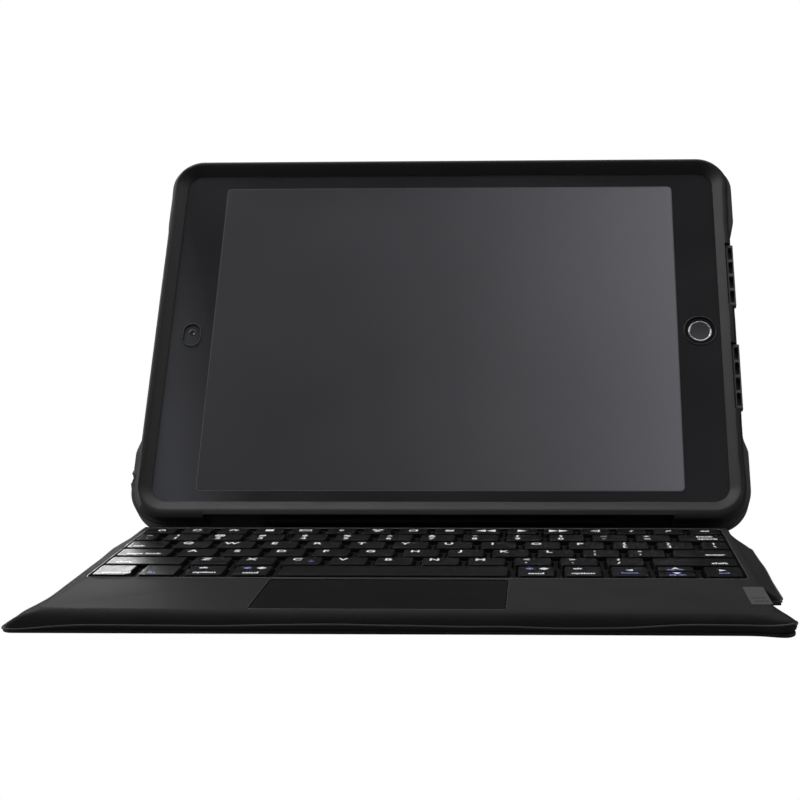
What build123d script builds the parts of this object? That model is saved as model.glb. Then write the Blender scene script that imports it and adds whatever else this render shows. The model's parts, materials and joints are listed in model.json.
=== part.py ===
"""Keyboard case for a ten inch tablet: a rugged case with a kickstand, and a keyboard folio.

Millimetres. X runs to the user's right, Y away from the user, Z up from the table.
The case parts are modelled flat, in the screen's own frame (x right, y up the screen,
z out of the glass, zero at the centre of the display), and are then leaned back.
"""
from build123d import *
import math
import os

# ---------------------------------------------------------------- tablet
TABLET_WIDTH, TABLET_HEIGHT, TABLET_THICK = 250.6, 174.1, 7.5
TABLET_CORNER = 10.0
DISPLAY_SIDE_MARGIN, DISPLAY_END_MARGIN = 21.4, 9.1
GLASS_THICK = 0.9
HOUSING_WALL = 1.4
DISPLAY_THICK = 1.5
HOME_BUTTON_INSET, HOME_BUTTON_RADIUS = 11.3, 5.25
HOME_BUTTON_TRAVEL = 0.3
CAMERA_INSET, CAMERA_Y, CAMERA_RADIUS = 12.0, 0.0, 1.7
REAR_CAMERA_SIDE_INSET, REAR_CAMERA_TOP_INSET, REAR_CAMERA_RADIUS = 13.3, 13.05, 5.0

# ---------------------------------------------------------------- stance on the table
LEAN = 34.0
DISPLAY_FOOT_Z = 21.6
HINGE_Y, HINGE_Z = -11.5, 10.0

# ---------------------------------------------------------------- case
TABLET_GAP = 0.4
SHELL_WALL = 1.5
SHELL_FLOOR = 2.0
POCKET_FLOOR_GAP = 0.5
SHELL_TOP_Z = -0.6
BUMPER_SIDE = 2.8
BUMPER_TOP = 3.5
BUMPER_BOTTOM = 4.5
BUMPER_BACK_STEP = 3.0
BULGE = 2.0
BULGE_LENGTH = 38.0
DOCK_NOTCH_HALF = 99.0
DOCK_NOTCH_KEEP, FRAME_NOTCH_KEEP = 0.6, 1.8
FRAME_UNDER_Z = -0.3
FRAME_CREST_Z = 3.8
FRAME_INSET = 0.3
LIP_OVER_SIDE, LIP_OVER_TOP, LIP_OVER_BOTTOM, LIP_CORNER = 2.3, 2.05, 3.55, 7.0
LIP_UNDER_Z, LIP_THICK = 0.35, 0.5
CREST_RUN = 4.8
FILM_THICK = 0.25
FILM_HOME_RADIUS = 7.25
FILM_CAMERA_WIDTH, FILM_CAMERA_HEIGHT = 8.0, 11.5
SPEAKER_CENTRES = (28.0, -24.0)
SPEAKER_LENGTH = 32.0
SPEAKER_SLOTS = 4
SPEAKER_PITCH = 8.2
SPEAKER_SLOT_WIDTH, SPEAKER_SLOT_LENGTH = 2.4, 6.4
PORT_HALF, PORT_LOW_Z, PORT_HIGH_Z = 6.5, -6.6, -1.6
FLAP_THICK, FLAP_MARGIN = 1.2, 2.2
FLAP_OPEN = 120.0
JACK_INSET, JACK_RADIUS = 15.05, 4.0
POWER_INSET, POWER_LENGTH = 21.05, 14.0
VOLUME_INSET, VOLUME_LENGTH = 33.3, 30.0
BUTTON_DEPTH = 3.6
BUTTON_TRAVEL = 0.5
BUTTON_PROUD = 0.6
BUTTON_GAP = 0.15
LENS_RING_WIDTH = 2.0

# ---------------------------------------------------------------- kickstand
STAND_HINGE_Y, STAND_HINGE_STEP = 10.0, 1.8
STAND_FOOT_MARGIN, STAND_WIDTH, STAND_THICK = 6.95, 124.0, 1.4
STAND_CORNER = 9.0
BARREL_RADIUS, BARREL_HALF = 1.5, 50.0
PIN_RADIUS, PIN_GAP, PIN_LENGTH = 0.8, 0.05, 11.0
BRACKET_SIZE, BRACKET_GAP = 7.0, 0.4
BRACKET_WIDTH = 10.0
SCREW_RADIUS, SCREW_HEAD_RADIUS, SCREW_HEAD_THICK = 0.8, 1.5, 0.7

# ---------------------------------------------------------------- frame and tablet removal
FRAME_LIFT = 60.0
TABLET_LIFT = 30.0

# ---------------------------------------------------------------- keyboard folio
KEYBOARD_X = -1.6
WELL_BORDER, FLANGE_REACH = 3.0, 8.4
BODY_FRONT_Y, BODY_BACK_Y = -161.0, -9.8
BODY_CORNER = 4.0
FLANGE_FRONT_Y, FLANGE_BACK_Y = -163.4, -18.0
FLANGE_CORNER = 9.0
FLANGE_EDGE_Z, FLANGE_TOP_Z = 2.4, 6.6
SKIN_THICK = 1.2
TRAY_FLOOR, TRAY_WALL = 0.8, 1.4
DECK_THICK, DECK_TOP_Z = 1.2, 7.2
COVER_THICK = 0.4
WEB_TOP_Z, WEB_THICK, WEB_GAP = 6.7, 0.9, 0.5
NOTCH_FRONT_Y, NOTCH_BACK_Y = -148.0, -119.5
WELL_FRONT_Y, WELL_BACK_Y = -111.0, -13.4
WELL_CORNER = 2.5
PLATE_THICK, MEMBRANE_THICK = 0.4, 0.2
PLATE_Z = 3.3
DOME_RADIUS, DOME_HEIGHT = 2.2, 0.9
TRACKPAD_LEFT, TRACKPAD_RIGHT = -53.5, 32.0
TRACKPAD_FRONT, TRACKPAD_BACK = -159.0, -112.6
TRACKPAD_GAP, TRACKPAD_SINK, TRACKPAD_THICK = 0.35, 0.2, 1.0
TRACKPAD_TRAVEL, TRACKPAD_CORNER = 0.4, 1.2
SWITCH_RADIUS = 3.0
LABEL_WIDTH, LABEL_LENGTH, LABEL_THICK, LABEL_Y = 7.0, 27.0, 0.15, -137.5
LABEL_FOLD = 1.6
SLIDER_Y, SLIDER_LENGTH, SLIDER_HEIGHT = -125.0, 4.0, 1.8
SLIDER_TRAVEL = 3.0
PORT_Y, SOCKET_WIDTH, SOCKET_HEIGHT, SOCKET_DEPTH, SOCKET_INSET = -139.0, 8.9, 3.2, 7.4, 0.3
SCREW_LEFT_INSET, SCREW_RIGHT_INSET, SCREW_PAD_GAP = 7.2, 8.0, 4.5
SCREW_BACK_Y, SCREW_FRONT_Y = -118.0, -156.0
BOSS_RADIUS = 2.0
BOARD_LENGTH, BOARD_WIDTH, BOARD_THICK = 52.0, 24.0, 0.8
BATTERY_WIDTH, BATTERY_Y = 28.0, -137.5
BATTERY_LEFT_GAP, BATTERY_RIGHT_GAP = 5.0, 4.0

# ---------------------------------------------------------------- keys
KEY_PITCH, KEY_GAP, KEY_TOP_Z, KEY_HEIGHT = 17.3, 2.5, 8.4, 2.5
BACKTICK_WIDTH, BACKSPACE_WIDTH, NUMBER_KEYS = 8.2, 18.5, 12
TAB_WIDTH, CAPS_LOCK_WIDTH, LEFT_SHIFT_WIDTH = 15.8, 21.0, 29.5
KEY_SIDE_GAP = 1.2
KEY_CORNER, KEY_DRAFT = 1.6, 12.0
KEY_CAP_THICK, KEY_SKIRT = 1.0, 1.1
KEY_TRAVEL = 1.4
FUNCTION_KEYS = 16
FUNCTION_GAP = 2.0
ROWS = {
    "function": (-28.4, -16.2),
    "number": (-43.4, -30.4),
    "q": (-59.2, -45.6),
    "a": (-74.9, -61.2),
    "z": (-90.7, -77.0),
    "bottom": (-109.8, -92.8),
}
LETTER_ROWS = {
    "number": (BACKTICK_WIDTH, NUMBER_KEYS, "backtick_key", "backspace_key"),
    "q": (TAB_WIDTH, 12, "tab_key", "backslash_key"),
    "a": (CAPS_LOCK_WIDTH, 11, "caps_lock_key", "enter_key"),
    "z": (LEFT_SHIFT_WIDTH, 10, "left_shift_key", "right_shift_key"),
}
BOTTOM_LEFT = ("control_key", "function_key", "left_option_key", "left_command_key")
BOTTOM_RIGHT = ("right_command_key", "right_option_key", "arrow_left_key", "arrow_up_key", "arrow_right_key")
BOTTOM_WIDTH, BOTTOM_GAP = 14.1, 2.85
ARROW_GAP = 0.9

# ---------------------------------------------------------------- fabric spine and dock
SPINE_HALF, SPINE_THICK, SPINE_LENGTH = 76.0, 0.9, 23.5
SPINE_GAP = 0.5
SPINE_Z = 0.2
DOCK_HALF, DOCK_HEIGHT, DOCK_LOW_Z, DOCK_HIGH_Z = 75.0, 2.6, -9.4, -2.4
MAGNETS, MAGNET_LENGTH, MAGNET_WIDTH, MAGNET_HEIGHT = 6, 12.0, 4.0, 1.4

# ---------------------------------------------------------------- derived values
DISPLAY_WIDTH = TABLET_WIDTH - 2 * DISPLAY_SIDE_MARGIN
DISPLAY_HEIGHT = TABLET_HEIGHT - 2 * DISPLAY_END_MARGIN
SCREEN = Plane(
    origin=(0, DISPLAY_HEIGHT / 2 * math.sin(math.radians(LEAN)),
            DISPLAY_FOOT_Z + DISPLAY_HEIGHT / 2 * math.cos(math.radians(LEAN))),
    x_dir=(1, 0, 0),
    z_dir=(0, -math.cos(math.radians(LEAN)), math.sin(math.radians(LEAN))),
)
HOME_BUTTON_X = TABLET_WIDTH / 2 - HOME_BUTTON_INSET
CAMERA_X = -TABLET_WIDTH / 2 + CAMERA_INSET
REAR_CAMERA_X = -TABLET_WIDTH / 2 + REAR_CAMERA_SIDE_INSET
REAR_CAMERA_Y = TABLET_HEIGHT / 2 - REAR_CAMERA_TOP_INSET
JACK_Y = -TABLET_HEIGHT / 2 + JACK_INSET
POWER_Y = TABLET_HEIGHT / 2 - POWER_INSET
VOLUME_X = -TABLET_WIDTH / 2 + VOLUME_INSET
POCKET_X = TABLET_WIDTH / 2 + TABLET_GAP
POCKET_Y = TABLET_HEIGHT / 2 + TABLET_GAP
POCKET_CORNER = TABLET_CORNER + TABLET_GAP
SHELL_X = POCKET_X + SHELL_WALL
SHELL_Y = POCKET_Y + SHELL_WALL
SHELL_CORNER = POCKET_CORNER + SHELL_WALL
SHELL_BACK_Z = -TABLET_THICK - POCKET_FLOOR_GAP - SHELL_FLOOR
BUMPER_BACK_Z = SHELL_BACK_Z - BUMPER_BACK_STEP
LIP_X = TABLET_WIDTH / 2 - LIP_OVER_SIDE
LIP_TOP = TABLET_HEIGHT / 2 - LIP_OVER_TOP
LIP_BOTTOM = TABLET_HEIGHT / 2 - LIP_OVER_BOTTOM
STAND_HINGE_Z = SHELL_BACK_Z - STAND_HINGE_STEP
STAND_LENGTH = STAND_HINGE_Y + SHELL_Y - STAND_FOOT_MARGIN
BUMPER_X = SHELL_X + BUMPER_SIDE
BUMPER_HIGH = SHELL_Y + BUMPER_TOP
BUMPER_LOW = SHELL_Y + BUMPER_BOTTOM
BUMPER_CORNER = SHELL_CORNER + BUMPER_SIDE
KEY_WIDTH = KEY_PITCH - KEY_GAP
KEYS_SPAN = BACKTICK_WIDTH + NUMBER_KEYS * KEY_PITCH + KEY_GAP + BACKSPACE_WIDTH
WELL_HALF = KEYS_SPAN / 2 + KEY_SIDE_GAP
BODY_HALF = WELL_HALF + WELL_BORDER
FLANGE_HALF = BODY_HALF + FLANGE_REACH
BODY_LEFT, BODY_RIGHT = KEYBOARD_X - BODY_HALF, KEYBOARD_X + BODY_HALF
SCREW_XS = (BODY_LEFT + SCREW_LEFT_INSET, TRACKPAD_LEFT - SCREW_PAD_GAP, TRACKPAD_RIGHT + SCREW_PAD_GAP)
TRAY_SCREWS = [(x, y) for x in SCREW_XS for y in (SCREW_BACK_Y, SCREW_FRONT_Y)]
TRAY_SCREWS.append((BODY_RIGHT - SCREW_RIGHT_INSET, SCREW_FRONT_Y))
DECK_UNDER_Z = DECK_TOP_Z - DECK_THICK
COVER_TOP_Z = DECK_TOP_Z + COVER_THICK
TRAY_TOP_Z = SKIN_THICK + TRAY_FLOOR
PLATE_TOP_Z = PLATE_Z + PLATE_THICK
MEMBRANE_TOP_Z = PLATE_TOP_Z + MEMBRANE_THICK
KEYS_LEFT = KEYBOARD_X - WELL_HALF + KEY_SIDE_GAP
KEYS_RIGHT = KEYBOARD_X + WELL_HALF - KEY_SIDE_GAP
SPINE_HINGE_Y = BODY_BACK_Y + SPINE_GAP + SPINE_THICK / 2
SPINE_HINGE_Z = SPINE_Z + SPINE_THICK / 2


def box(x0, x1, y0, y1, z0, z1):
    """A plain block between two corners."""
    return Pos((x0 + x1) / 2, (y0 + y1) / 2, (z0 + z1) / 2) * Box(x1 - x0, y1 - y0, z1 - z0)


def outline(x0, x1, y0, y1, corner, z):
    """A rectangle with round corners, lying at height z."""
    return Pos((x0 + x1) / 2, (y0 + y1) / 2, z) * RectangleRounded(x1 - x0, y1 - y0, corner)


def slab(x0, x1, y0, y1, corner, z0, z1):
    """A plate with round corners between two heights."""
    return extrude(outline(x0, x1, y0, y1, corner, z0), amount=z1 - z0, dir=(0, 0, 1))


def disc(x, y, radius, z0, z1):
    """An upright cylinder between two heights."""
    return Pos(x, y, (z0 + z1) / 2) * Cylinder(radius, z1 - z0)


def rod(axis, x, y, z, radius, length):
    """A cylinder centred on a point, along X or Y."""
    turn = Rot(0, 90, 0) if axis == "x" else Rot(90, 0, 0)
    return Pos(x, y, z) * turn * Cylinder(radius, length)


def group(solids):
    """Several separate solids as one shape."""
    return Compound([solid for shape in solids for solid in shape.solids()])


# ================================================================ tablet
def tablet_housing():
    """The metal tray of the tablet, open towards the glass."""
    x, y = TABLET_WIDTH / 2, TABLET_HEIGHT / 2
    body = slab(-x, x, -y, y, TABLET_CORNER, -TABLET_THICK, -GLASS_THICK)
    back = body.faces().sort_by(Axis.Z)[0]
    body = fillet(back.edges(), 2.5)
    wall = HOUSING_WALL
    hollow = slab(-x + wall, x - wall, -y + wall, y - wall, TABLET_CORNER - wall,
                  -TABLET_THICK + wall, -GLASS_THICK)
    lens = disc(REAR_CAMERA_X, REAR_CAMERA_Y, REAR_CAMERA_RADIUS, -TABLET_THICK, -TABLET_THICK + wall)
    return body - hollow - lens


def tablet_glass():
    """The cover glass, with the hole for the home button."""
    x, y = TABLET_WIDTH / 2 - 0.6, TABLET_HEIGHT / 2 - 0.6
    glass = slab(-x, x, -y, y, TABLET_CORNER - 0.6, -GLASS_THICK, 0)
    return glass - disc(HOME_BUTTON_X, 0, HOME_BUTTON_RADIUS + BUTTON_GAP * 2, -GLASS_THICK, 0)


def tablet_display():
    """The display module behind the glass."""
    x, y = DISPLAY_WIDTH / 2, DISPLAY_HEIGHT / 2
    return box(-x, x, -y, y, -GLASS_THICK - DISPLAY_THICK, -GLASS_THICK)


def front_camera():
    """The camera barrel behind the glass."""
    return disc(CAMERA_X, CAMERA_Y, CAMERA_RADIUS, -GLASS_THICK - 3.0, -GLASS_THICK)


def home_button():
    """The round button in the glass, on its stem."""
    cap = disc(HOME_BUTTON_X, 0, HOME_BUTTON_RADIUS, -GLASS_THICK - 0.6, -0.15)
    return cap + disc(HOME_BUTTON_X, 0, 1.5, -GLASS_THICK - 3.0, -GLASS_THICK - 0.6)


# ================================================================ case
def side_cuts():
    """What passes through the case walls: charging port, headphone jack and the two buttons."""
    port = box(TABLET_WIDTH / 2, BUMPER_X + 5, -PORT_HALF, PORT_HALF, PORT_LOW_Z, PORT_HIGH_Z)
    jack = rod("x", -BUMPER_X, JACK_Y, -TABLET_THICK / 2, JACK_RADIUS - 1.2, 14)
    half = BUTTON_DEPTH / 2 + BUTTON_GAP
    mid = -TABLET_THICK / 2
    power = box(-BUMPER_X - 5, -TABLET_WIDTH / 2, POWER_Y - POWER_LENGTH / 2 - BUTTON_GAP,
                POWER_Y + POWER_LENGTH / 2 + BUTTON_GAP, mid - half, mid + half)
    volume = box(VOLUME_X - VOLUME_LENGTH / 2 - BUTTON_GAP, VOLUME_X + VOLUME_LENGTH / 2 + BUTTON_GAP,
                 TABLET_HEIGHT / 2, BUMPER_HIGH + 5, mid - half, mid + half)
    return port + jack + power + volume


def bracket_holes(radius, z0, z1):
    """Screw holes of the kickstand brackets, one on each side."""
    x = BARREL_HALF + BRACKET_GAP + BRACKET_WIDTH * 0.68
    return [disc(side * x, STAND_HINGE_Y, radius, z0, z1) for side in (-1, 1)]


def back_shell():
    """The stiff tray that the tablet lies in."""
    shell = slab(-SHELL_X, SHELL_X, -SHELL_Y, SHELL_Y, SHELL_CORNER, SHELL_BACK_Z, SHELL_TOP_Z)
    pocket = slab(-POCKET_X, POCKET_X, -POCKET_Y, POCKET_Y, POCKET_CORNER,
                  SHELL_BACK_Z + SHELL_FLOOR, SHELL_TOP_Z)
    window = disc(REAR_CAMERA_X, REAR_CAMERA_Y, REAR_CAMERA_RADIUS + 1 + LENS_RING_WIDTH,
                  SHELL_BACK_Z, SHELL_BACK_Z + SHELL_FLOOR)
    shell = shell - pocket - window - side_cuts()
    for hole in bracket_holes(SCREW_RADIUS, SHELL_BACK_Z, SHELL_BACK_Z + SHELL_FLOOR):
        shell -= hole
    return shell


def bumper():
    """The rubber edge moulded round the shell, thicker at its corners."""
    ring = slab(-BUMPER_X, BUMPER_X, -BUMPER_LOW, BUMPER_HIGH, BUMPER_CORNER, BUMPER_BACK_Z, SHELL_TOP_Z)
    ring = fillet(ring.faces().sort_by(Axis.Z)[0].edges(), 3.0)
    wide = slab(-BUMPER_X - BULGE, BUMPER_X + BULGE, -BUMPER_LOW, BUMPER_HIGH, BUMPER_CORNER,
                BUMPER_BACK_Z + 1, SHELL_TOP_Z)
    for y0, y1 in ((BUMPER_HIGH - BULGE_LENGTH, BUMPER_HIGH), (-BUMPER_LOW, -BUMPER_LOW + BULGE_LENGTH)):
        ring += wide & box(-BUMPER_X - BULGE, BUMPER_X + BULGE, y0, y1, BUMPER_BACK_Z, SHELL_TOP_Z)
    ring -= slab(-SHELL_X, SHELL_X, -SHELL_Y, SHELL_Y, SHELL_CORNER, SHELL_BACK_Z, SHELL_TOP_Z)
    inner = BUMPER_SIDE + SHELL_WALL
    ring -= slab(-SHELL_X + inner, SHELL_X - inner, -SHELL_Y + inner, SHELL_Y - inner,
                 SHELL_CORNER, BUMPER_BACK_Z, SHELL_BACK_Z)
    ring -= box(-DOCK_NOTCH_HALF, DOCK_NOTCH_HALF, -BUMPER_LOW, -SHELL_Y - DOCK_NOTCH_KEEP,
                BUMPER_BACK_Z, SHELL_TOP_Z)
    ring -= box(-DOCK_HALF, DOCK_HALF, -BUMPER_LOW, -SHELL_Y, DOCK_LOW_Z, DOCK_HIGH_Z)
    flap_half = PORT_HALF + FLAP_MARGIN + BUTTON_GAP
    ring -= box(BUMPER_X - FLAP_THICK - 0.1, BUMPER_X + BULGE, -flap_half, flap_half,
                PORT_LOW_Z - FLAP_MARGIN - BUTTON_GAP, SHELL_TOP_Z)
    return ring - side_cuts()


def camera_ring():
    """The raised ring round the rear camera window."""
    outer = REAR_CAMERA_RADIUS + 1 + LENS_RING_WIDTH
    ring = disc(REAR_CAMERA_X, REAR_CAMERA_Y, outer, SHELL_BACK_Z - 0.8, SHELL_BACK_Z + SHELL_FLOOR)
    return ring - disc(REAR_CAMERA_X, REAR_CAMERA_Y, outer - LENS_RING_WIDTH,
                       SHELL_BACK_Z - 0.8, SHELL_BACK_Z + SHELL_FLOOR)


def speaker_box(centre, margin, x0, z0, z1):
    """The space of one speaker grille, grown by a margin along its length."""
    half = SPEAKER_LENGTH / 2 + margin
    return box(x0, BUMPER_X + 5, centre - half, centre + half, z0, z1)


def speaker_grilles():
    """Two slotted inserts on the right edge that pass sound to the front."""
    grilles = []
    x0, x1 = SHELL_X + BUTTON_GAP, BUMPER_X + 0.6
    for centre in SPEAKER_CENTRES:
        half = SPEAKER_LENGTH / 2
        grille = slab(x0, x1, centre - half, centre + half, 1.2, SHELL_TOP_Z, FRAME_CREST_Z - 1.6)
        for slot in range(SPEAKER_SLOTS):
            y = centre + (slot - (SPEAKER_SLOTS - 1) / 2) * (SPEAKER_PITCH - 0.6)
            grille -= box(x1 - SPEAKER_SLOT_WIDTH - 0.6, x1 - 0.6, y - SPEAKER_SLOT_LENGTH / 2,
                          y + SPEAKER_SLOT_LENGTH / 2, SHELL_TOP_Z + 0.8, FRAME_CREST_Z)
        grilles.append(grille)
    return group(grilles)


def dock_bar():
    """The magnetic bar at the bottom edge that the folio's spine is fixed to."""
    bar = box(-DOCK_HALF, DOCK_HALF, -SHELL_Y - DOCK_HEIGHT, -SHELL_Y, DOCK_LOW_Z, DOCK_HIGH_Z)
    for magnet in dock_magnets().solids():
        bar -= magnet
    return bar


def dock_magnets():
    """Bar magnets let into the dock bar from the shell's side."""
    pitch = 2 * DOCK_HALF / MAGNETS
    mid = (DOCK_LOW_Z + DOCK_HIGH_Z) / 2
    return group([
        box(x - MAGNET_LENGTH / 2, x + MAGNET_LENGTH / 2, -SHELL_Y - MAGNET_HEIGHT, -SHELL_Y,
            mid - MAGNET_WIDTH / 2, mid + MAGNET_WIDTH / 2)
        for x in [(i - (MAGNETS - 1) / 2) * pitch for i in range(MAGNETS)]
    ])


def stand_brackets():
    """Two bearing blocks on the case's back that hold the kickstand's pins."""
    brackets = []
    for side in (-1, 1):
        x0 = BARREL_HALF + BRACKET_GAP
        ear = box(x0, x0 + 4, STAND_HINGE_Y - BRACKET_SIZE / 2, STAND_HINGE_Y + BRACKET_SIZE / 2,
                  BUMPER_BACK_Z - 0.3, SHELL_BACK_Z)
        foot = box(x0, x0 + BRACKET_WIDTH, STAND_HINGE_Y - BRACKET_SIZE / 2,
                   STAND_HINGE_Y + BRACKET_SIZE / 2, SHELL_BACK_Z - 1.4, SHELL_BACK_Z)
        block = ear + foot
        block = block if side > 0 else mirror(block, about=Plane.YZ)
        brackets.append(block)
    shape = group(brackets)
    for cut in stand_pins().solids() + bracket_holes(SCREW_RADIUS, SHELL_BACK_Z - 1.4, SHELL_BACK_Z):
        shape -= cut
    return group([shape])


def stand_pins():
    """Two hinge pins, pressed in the brackets and running in the kickstand's barrel."""
    x = BARREL_HALF + BRACKET_GAP + 3.2 - PIN_LENGTH / 2
    return group([rod("x", side * x, STAND_HINGE_Y, STAND_HINGE_Z, PIN_RADIUS, PIN_LENGTH)
                  for side in (-1, 1)])


def bracket_screws():
    """Screws that hold the brackets to the shell."""
    shanks = bracket_holes(SCREW_RADIUS, SHELL_BACK_Z - 1.4, SHELL_BACK_Z + SHELL_FLOOR - 0.4)
    heads = bracket_holes(SCREW_HEAD_RADIUS, SHELL_BACK_Z - 1.4 - SCREW_HEAD_THICK, SHELL_BACK_Z - 1.4)
    return group([shank + head for shank, head in zip(shanks, heads)])


def power_button():
    """The rubber cover of the tablet's top button, on the case's left edge."""
    mid, half = -TABLET_THICK / 2, BUTTON_DEPTH / 2
    return box(-BUMPER_X - BUTTON_PROUD, -TABLET_WIDTH / 2 - BUTTON_TRAVEL - 0.05,
               POWER_Y - POWER_LENGTH / 2, POWER_Y + POWER_LENGTH / 2, mid - half, mid + half)


def volume_button():
    """The rubber cover of the two volume buttons, on the case's top edge."""
    mid, half = -TABLET_THICK / 2, BUTTON_DEPTH / 2
    bar = box(VOLUME_X - VOLUME_LENGTH / 2, VOLUME_X + VOLUME_LENGTH / 2,
              TABLET_HEIGHT / 2 + BUTTON_TRAVEL + 0.05, BUMPER_HIGH + BUTTON_PROUD, mid - half, mid + half)
    return bar - box(VOLUME_X - 1.5, VOLUME_X + 1.5, BUMPER_HIGH - 0.2, BUMPER_HIGH + 1, mid - half, mid + half)


def port_flap():
    """The flap over the charging port, in a recess of the right edge."""
    half = PORT_HALF + FLAP_MARGIN
    return box(BUMPER_X - FLAP_THICK, BUMPER_X, -half, half, PORT_LOW_Z - FLAP_MARGIN, SHELL_TOP_Z - 0.1)


def front_frame():
    """The press-fit bezel: a lip over the glass that rises outwards to a crest."""
    x, high, low = BUMPER_X - FRAME_INSET, BUMPER_HIGH - FRAME_INSET, BUMPER_LOW - FRAME_INSET
    ring = slab(-x, x, -low, high, BUMPER_CORNER, FRAME_UNDER_Z, FRAME_CREST_Z)
    ring = chamfer(ring.faces().sort_by(Axis.Z)[-1].edges(), 1.4)
    lip_z = LIP_UNDER_Z + LIP_THICK
    run = CREST_RUN
    funnel = loft([
        outline(-LIP_X, LIP_X, -LIP_BOTTOM, LIP_TOP, LIP_CORNER, lip_z),
        outline(-LIP_X - run, LIP_X + run, -LIP_BOTTOM - run, LIP_TOP + run, LIP_CORNER + run, FRAME_CREST_Z),
    ])
    ring = ring - funnel
    ring -= slab(-LIP_X, LIP_X, -LIP_BOTTOM, LIP_TOP, LIP_CORNER, FRAME_UNDER_Z, lip_z)
    ring -= slab(-POCKET_X, POCKET_X, -POCKET_Y, POCKET_Y, POCKET_CORNER, FRAME_UNDER_Z, LIP_UNDER_Z)
    ring -= box(-DOCK_NOTCH_HALF, DOCK_NOTCH_HALF, -BUMPER_LOW, -SHELL_Y - FRAME_NOTCH_KEEP,
                FRAME_UNDER_Z, FRAME_CREST_Z)
    for centre in SPEAKER_CENTRES:
        ring -= speaker_box(centre, 0.4, SHELL_X - 0.25, FRAME_UNDER_Z, FRAME_CREST_Z)
    return ring


def screen_film():
    """The clear film across the bezel, open over the home button and the front camera."""
    z0, z1 = LIP_UNDER_Z + 0.1, LIP_UNDER_Z + 0.1 + FILM_THICK
    film = slab(-LIP_X, LIP_X, -LIP_BOTTOM, LIP_TOP, LIP_CORNER, z0, z1)
    film -= disc(HOME_BUTTON_X, 0, FILM_HOME_RADIUS, z0, z1)
    half_x, half_y = FILM_CAMERA_WIDTH / 2, FILM_CAMERA_HEIGHT / 2
    return film - slab(CAMERA_X - half_x, CAMERA_X + half_x, CAMERA_Y - 1.5 - half_y,
                       CAMERA_Y - 1.5 + half_y, half_x - 0.1, z0, z1)


def kickstand_plate():
    """The stand as it lies closed: a plate with a finger notch, on a barrel."""
    half = STAND_WIDTH / 2
    low = STAND_HINGE_Y - STAND_LENGTH
    high = STAND_HINGE_Y - BRACKET_SIZE / 2 - 0.7
    z0, z1 = STAND_HINGE_Z - STAND_THICK / 2, STAND_HINGE_Z + STAND_THICK / 2
    plate = slab(-half, half, low, high, STAND_CORNER, z0, z1)
    web_half = BARREL_HALF - 2
    plate += box(-web_half, web_half, high - 3, STAND_HINGE_Y, z0, z1)
    plate += rod("x", 0, STAND_HINGE_Y, STAND_HINGE_Z, BARREL_RADIUS, 2 * BARREL_HALF)
    plate -= disc(0, low - 6, 13, z0, z1)
    bore = PIN_RADIUS + PIN_GAP
    depth = PIN_LENGTH
    for side in (-1, 1):
        plate -= rod("x", side * (BARREL_HALF - depth / 2), STAND_HINGE_Y, STAND_HINGE_Z, bore, depth)
    return plate


def stand_angle():
    """How far the stand opens until its edge meets the table."""
    hinge = SCREEN.from_local_coords(Vector(0, STAND_HINGE_Y, STAND_HINGE_Z))
    reach = math.hypot(STAND_LENGTH, STAND_THICK / 2)
    lowest = math.degrees(math.acos(hinge.Z / reach))
    return LEAN + lowest - math.degrees(math.atan2(STAND_THICK / 2, STAND_LENGTH))


# ================================================================ folio body
def bottom_skin():
    """The soft cover under the keyboard, which sticks out as a flange."""
    skin = slab(KEYBOARD_X - FLANGE_HALF, KEYBOARD_X + FLANGE_HALF, FLANGE_FRONT_Y, FLANGE_BACK_Y,
                FLANGE_CORNER, 0, SKIN_THICK)
    skin += box(BODY_LEFT, BODY_RIGHT, FLANGE_BACK_Y - FLANGE_CORNER, BODY_BACK_Y, 0, SKIN_THICK)
    skin -= notch()
    for x, y in TRAY_SCREWS:
        skin -= disc(x, y, BOSS_RADIUS + 0.5, SKIN_THICK - 0.6, SKIN_THICK)
    return skin


def notch():
    """The cut in the right flange that bares the switch and the socket."""
    return box(BODY_RIGHT, KEYBOARD_X + FLANGE_HALF + 5, NOTCH_FRONT_Y, NOTCH_BACK_Y, 0, COVER_TOP_Z)


def top_skin():
    """The upper cover of the flange, falling from the deck to the edge."""
    low = outline(KEYBOARD_X - FLANGE_HALF, KEYBOARD_X + FLANGE_HALF, FLANGE_FRONT_Y, FLANGE_BACK_Y,
                  FLANGE_CORNER, FLANGE_EDGE_Z)
    high = outline(BODY_LEFT - 0.6, BODY_RIGHT + 0.6, BODY_FRONT_Y - 0.6, FLANGE_BACK_Y - 4,
                   BODY_CORNER, FLANGE_TOP_Z)
    skin = extrude(low, amount=SKIN_THICK - FLANGE_EDGE_Z, dir=(0, 0, 1)) + loft([low, high])
    skin += extrude(high, amount=COVER_TOP_Z - FLANGE_TOP_Z, dir=(0, 0, 1))
    skin += body_block(DECK_TOP_Z, COVER_TOP_Z)
    skin -= body_block(0, DECK_TOP_Z)
    skin -= well_block(0, DECK_TOP_Z, COVER_TOP_Z)
    return skin - trackpad_block(TRACKPAD_GAP, DECK_TOP_Z, COVER_TOP_Z) - notch()


def body_block(z0, z1):
    """The keyboard body's full outline between two heights."""
    return slab(BODY_LEFT, BODY_RIGHT, BODY_FRONT_Y, BODY_BACK_Y, BODY_CORNER, z0, z1)


def socket_cut():
    """The opening of the charging socket in the tray wall."""
    half_y, half_z = SOCKET_WIDTH / 2, SOCKET_HEIGHT / 2
    mid = socket_height()
    return box(BODY_RIGHT - 4, BODY_RIGHT + 1, PORT_Y - half_y, PORT_Y + half_y, mid - half_z, mid + half_z)


def socket_height():
    """The height of the socket's middle."""
    return (TRAY_TOP_Z + DECK_UNDER_Z) / 2


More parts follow.
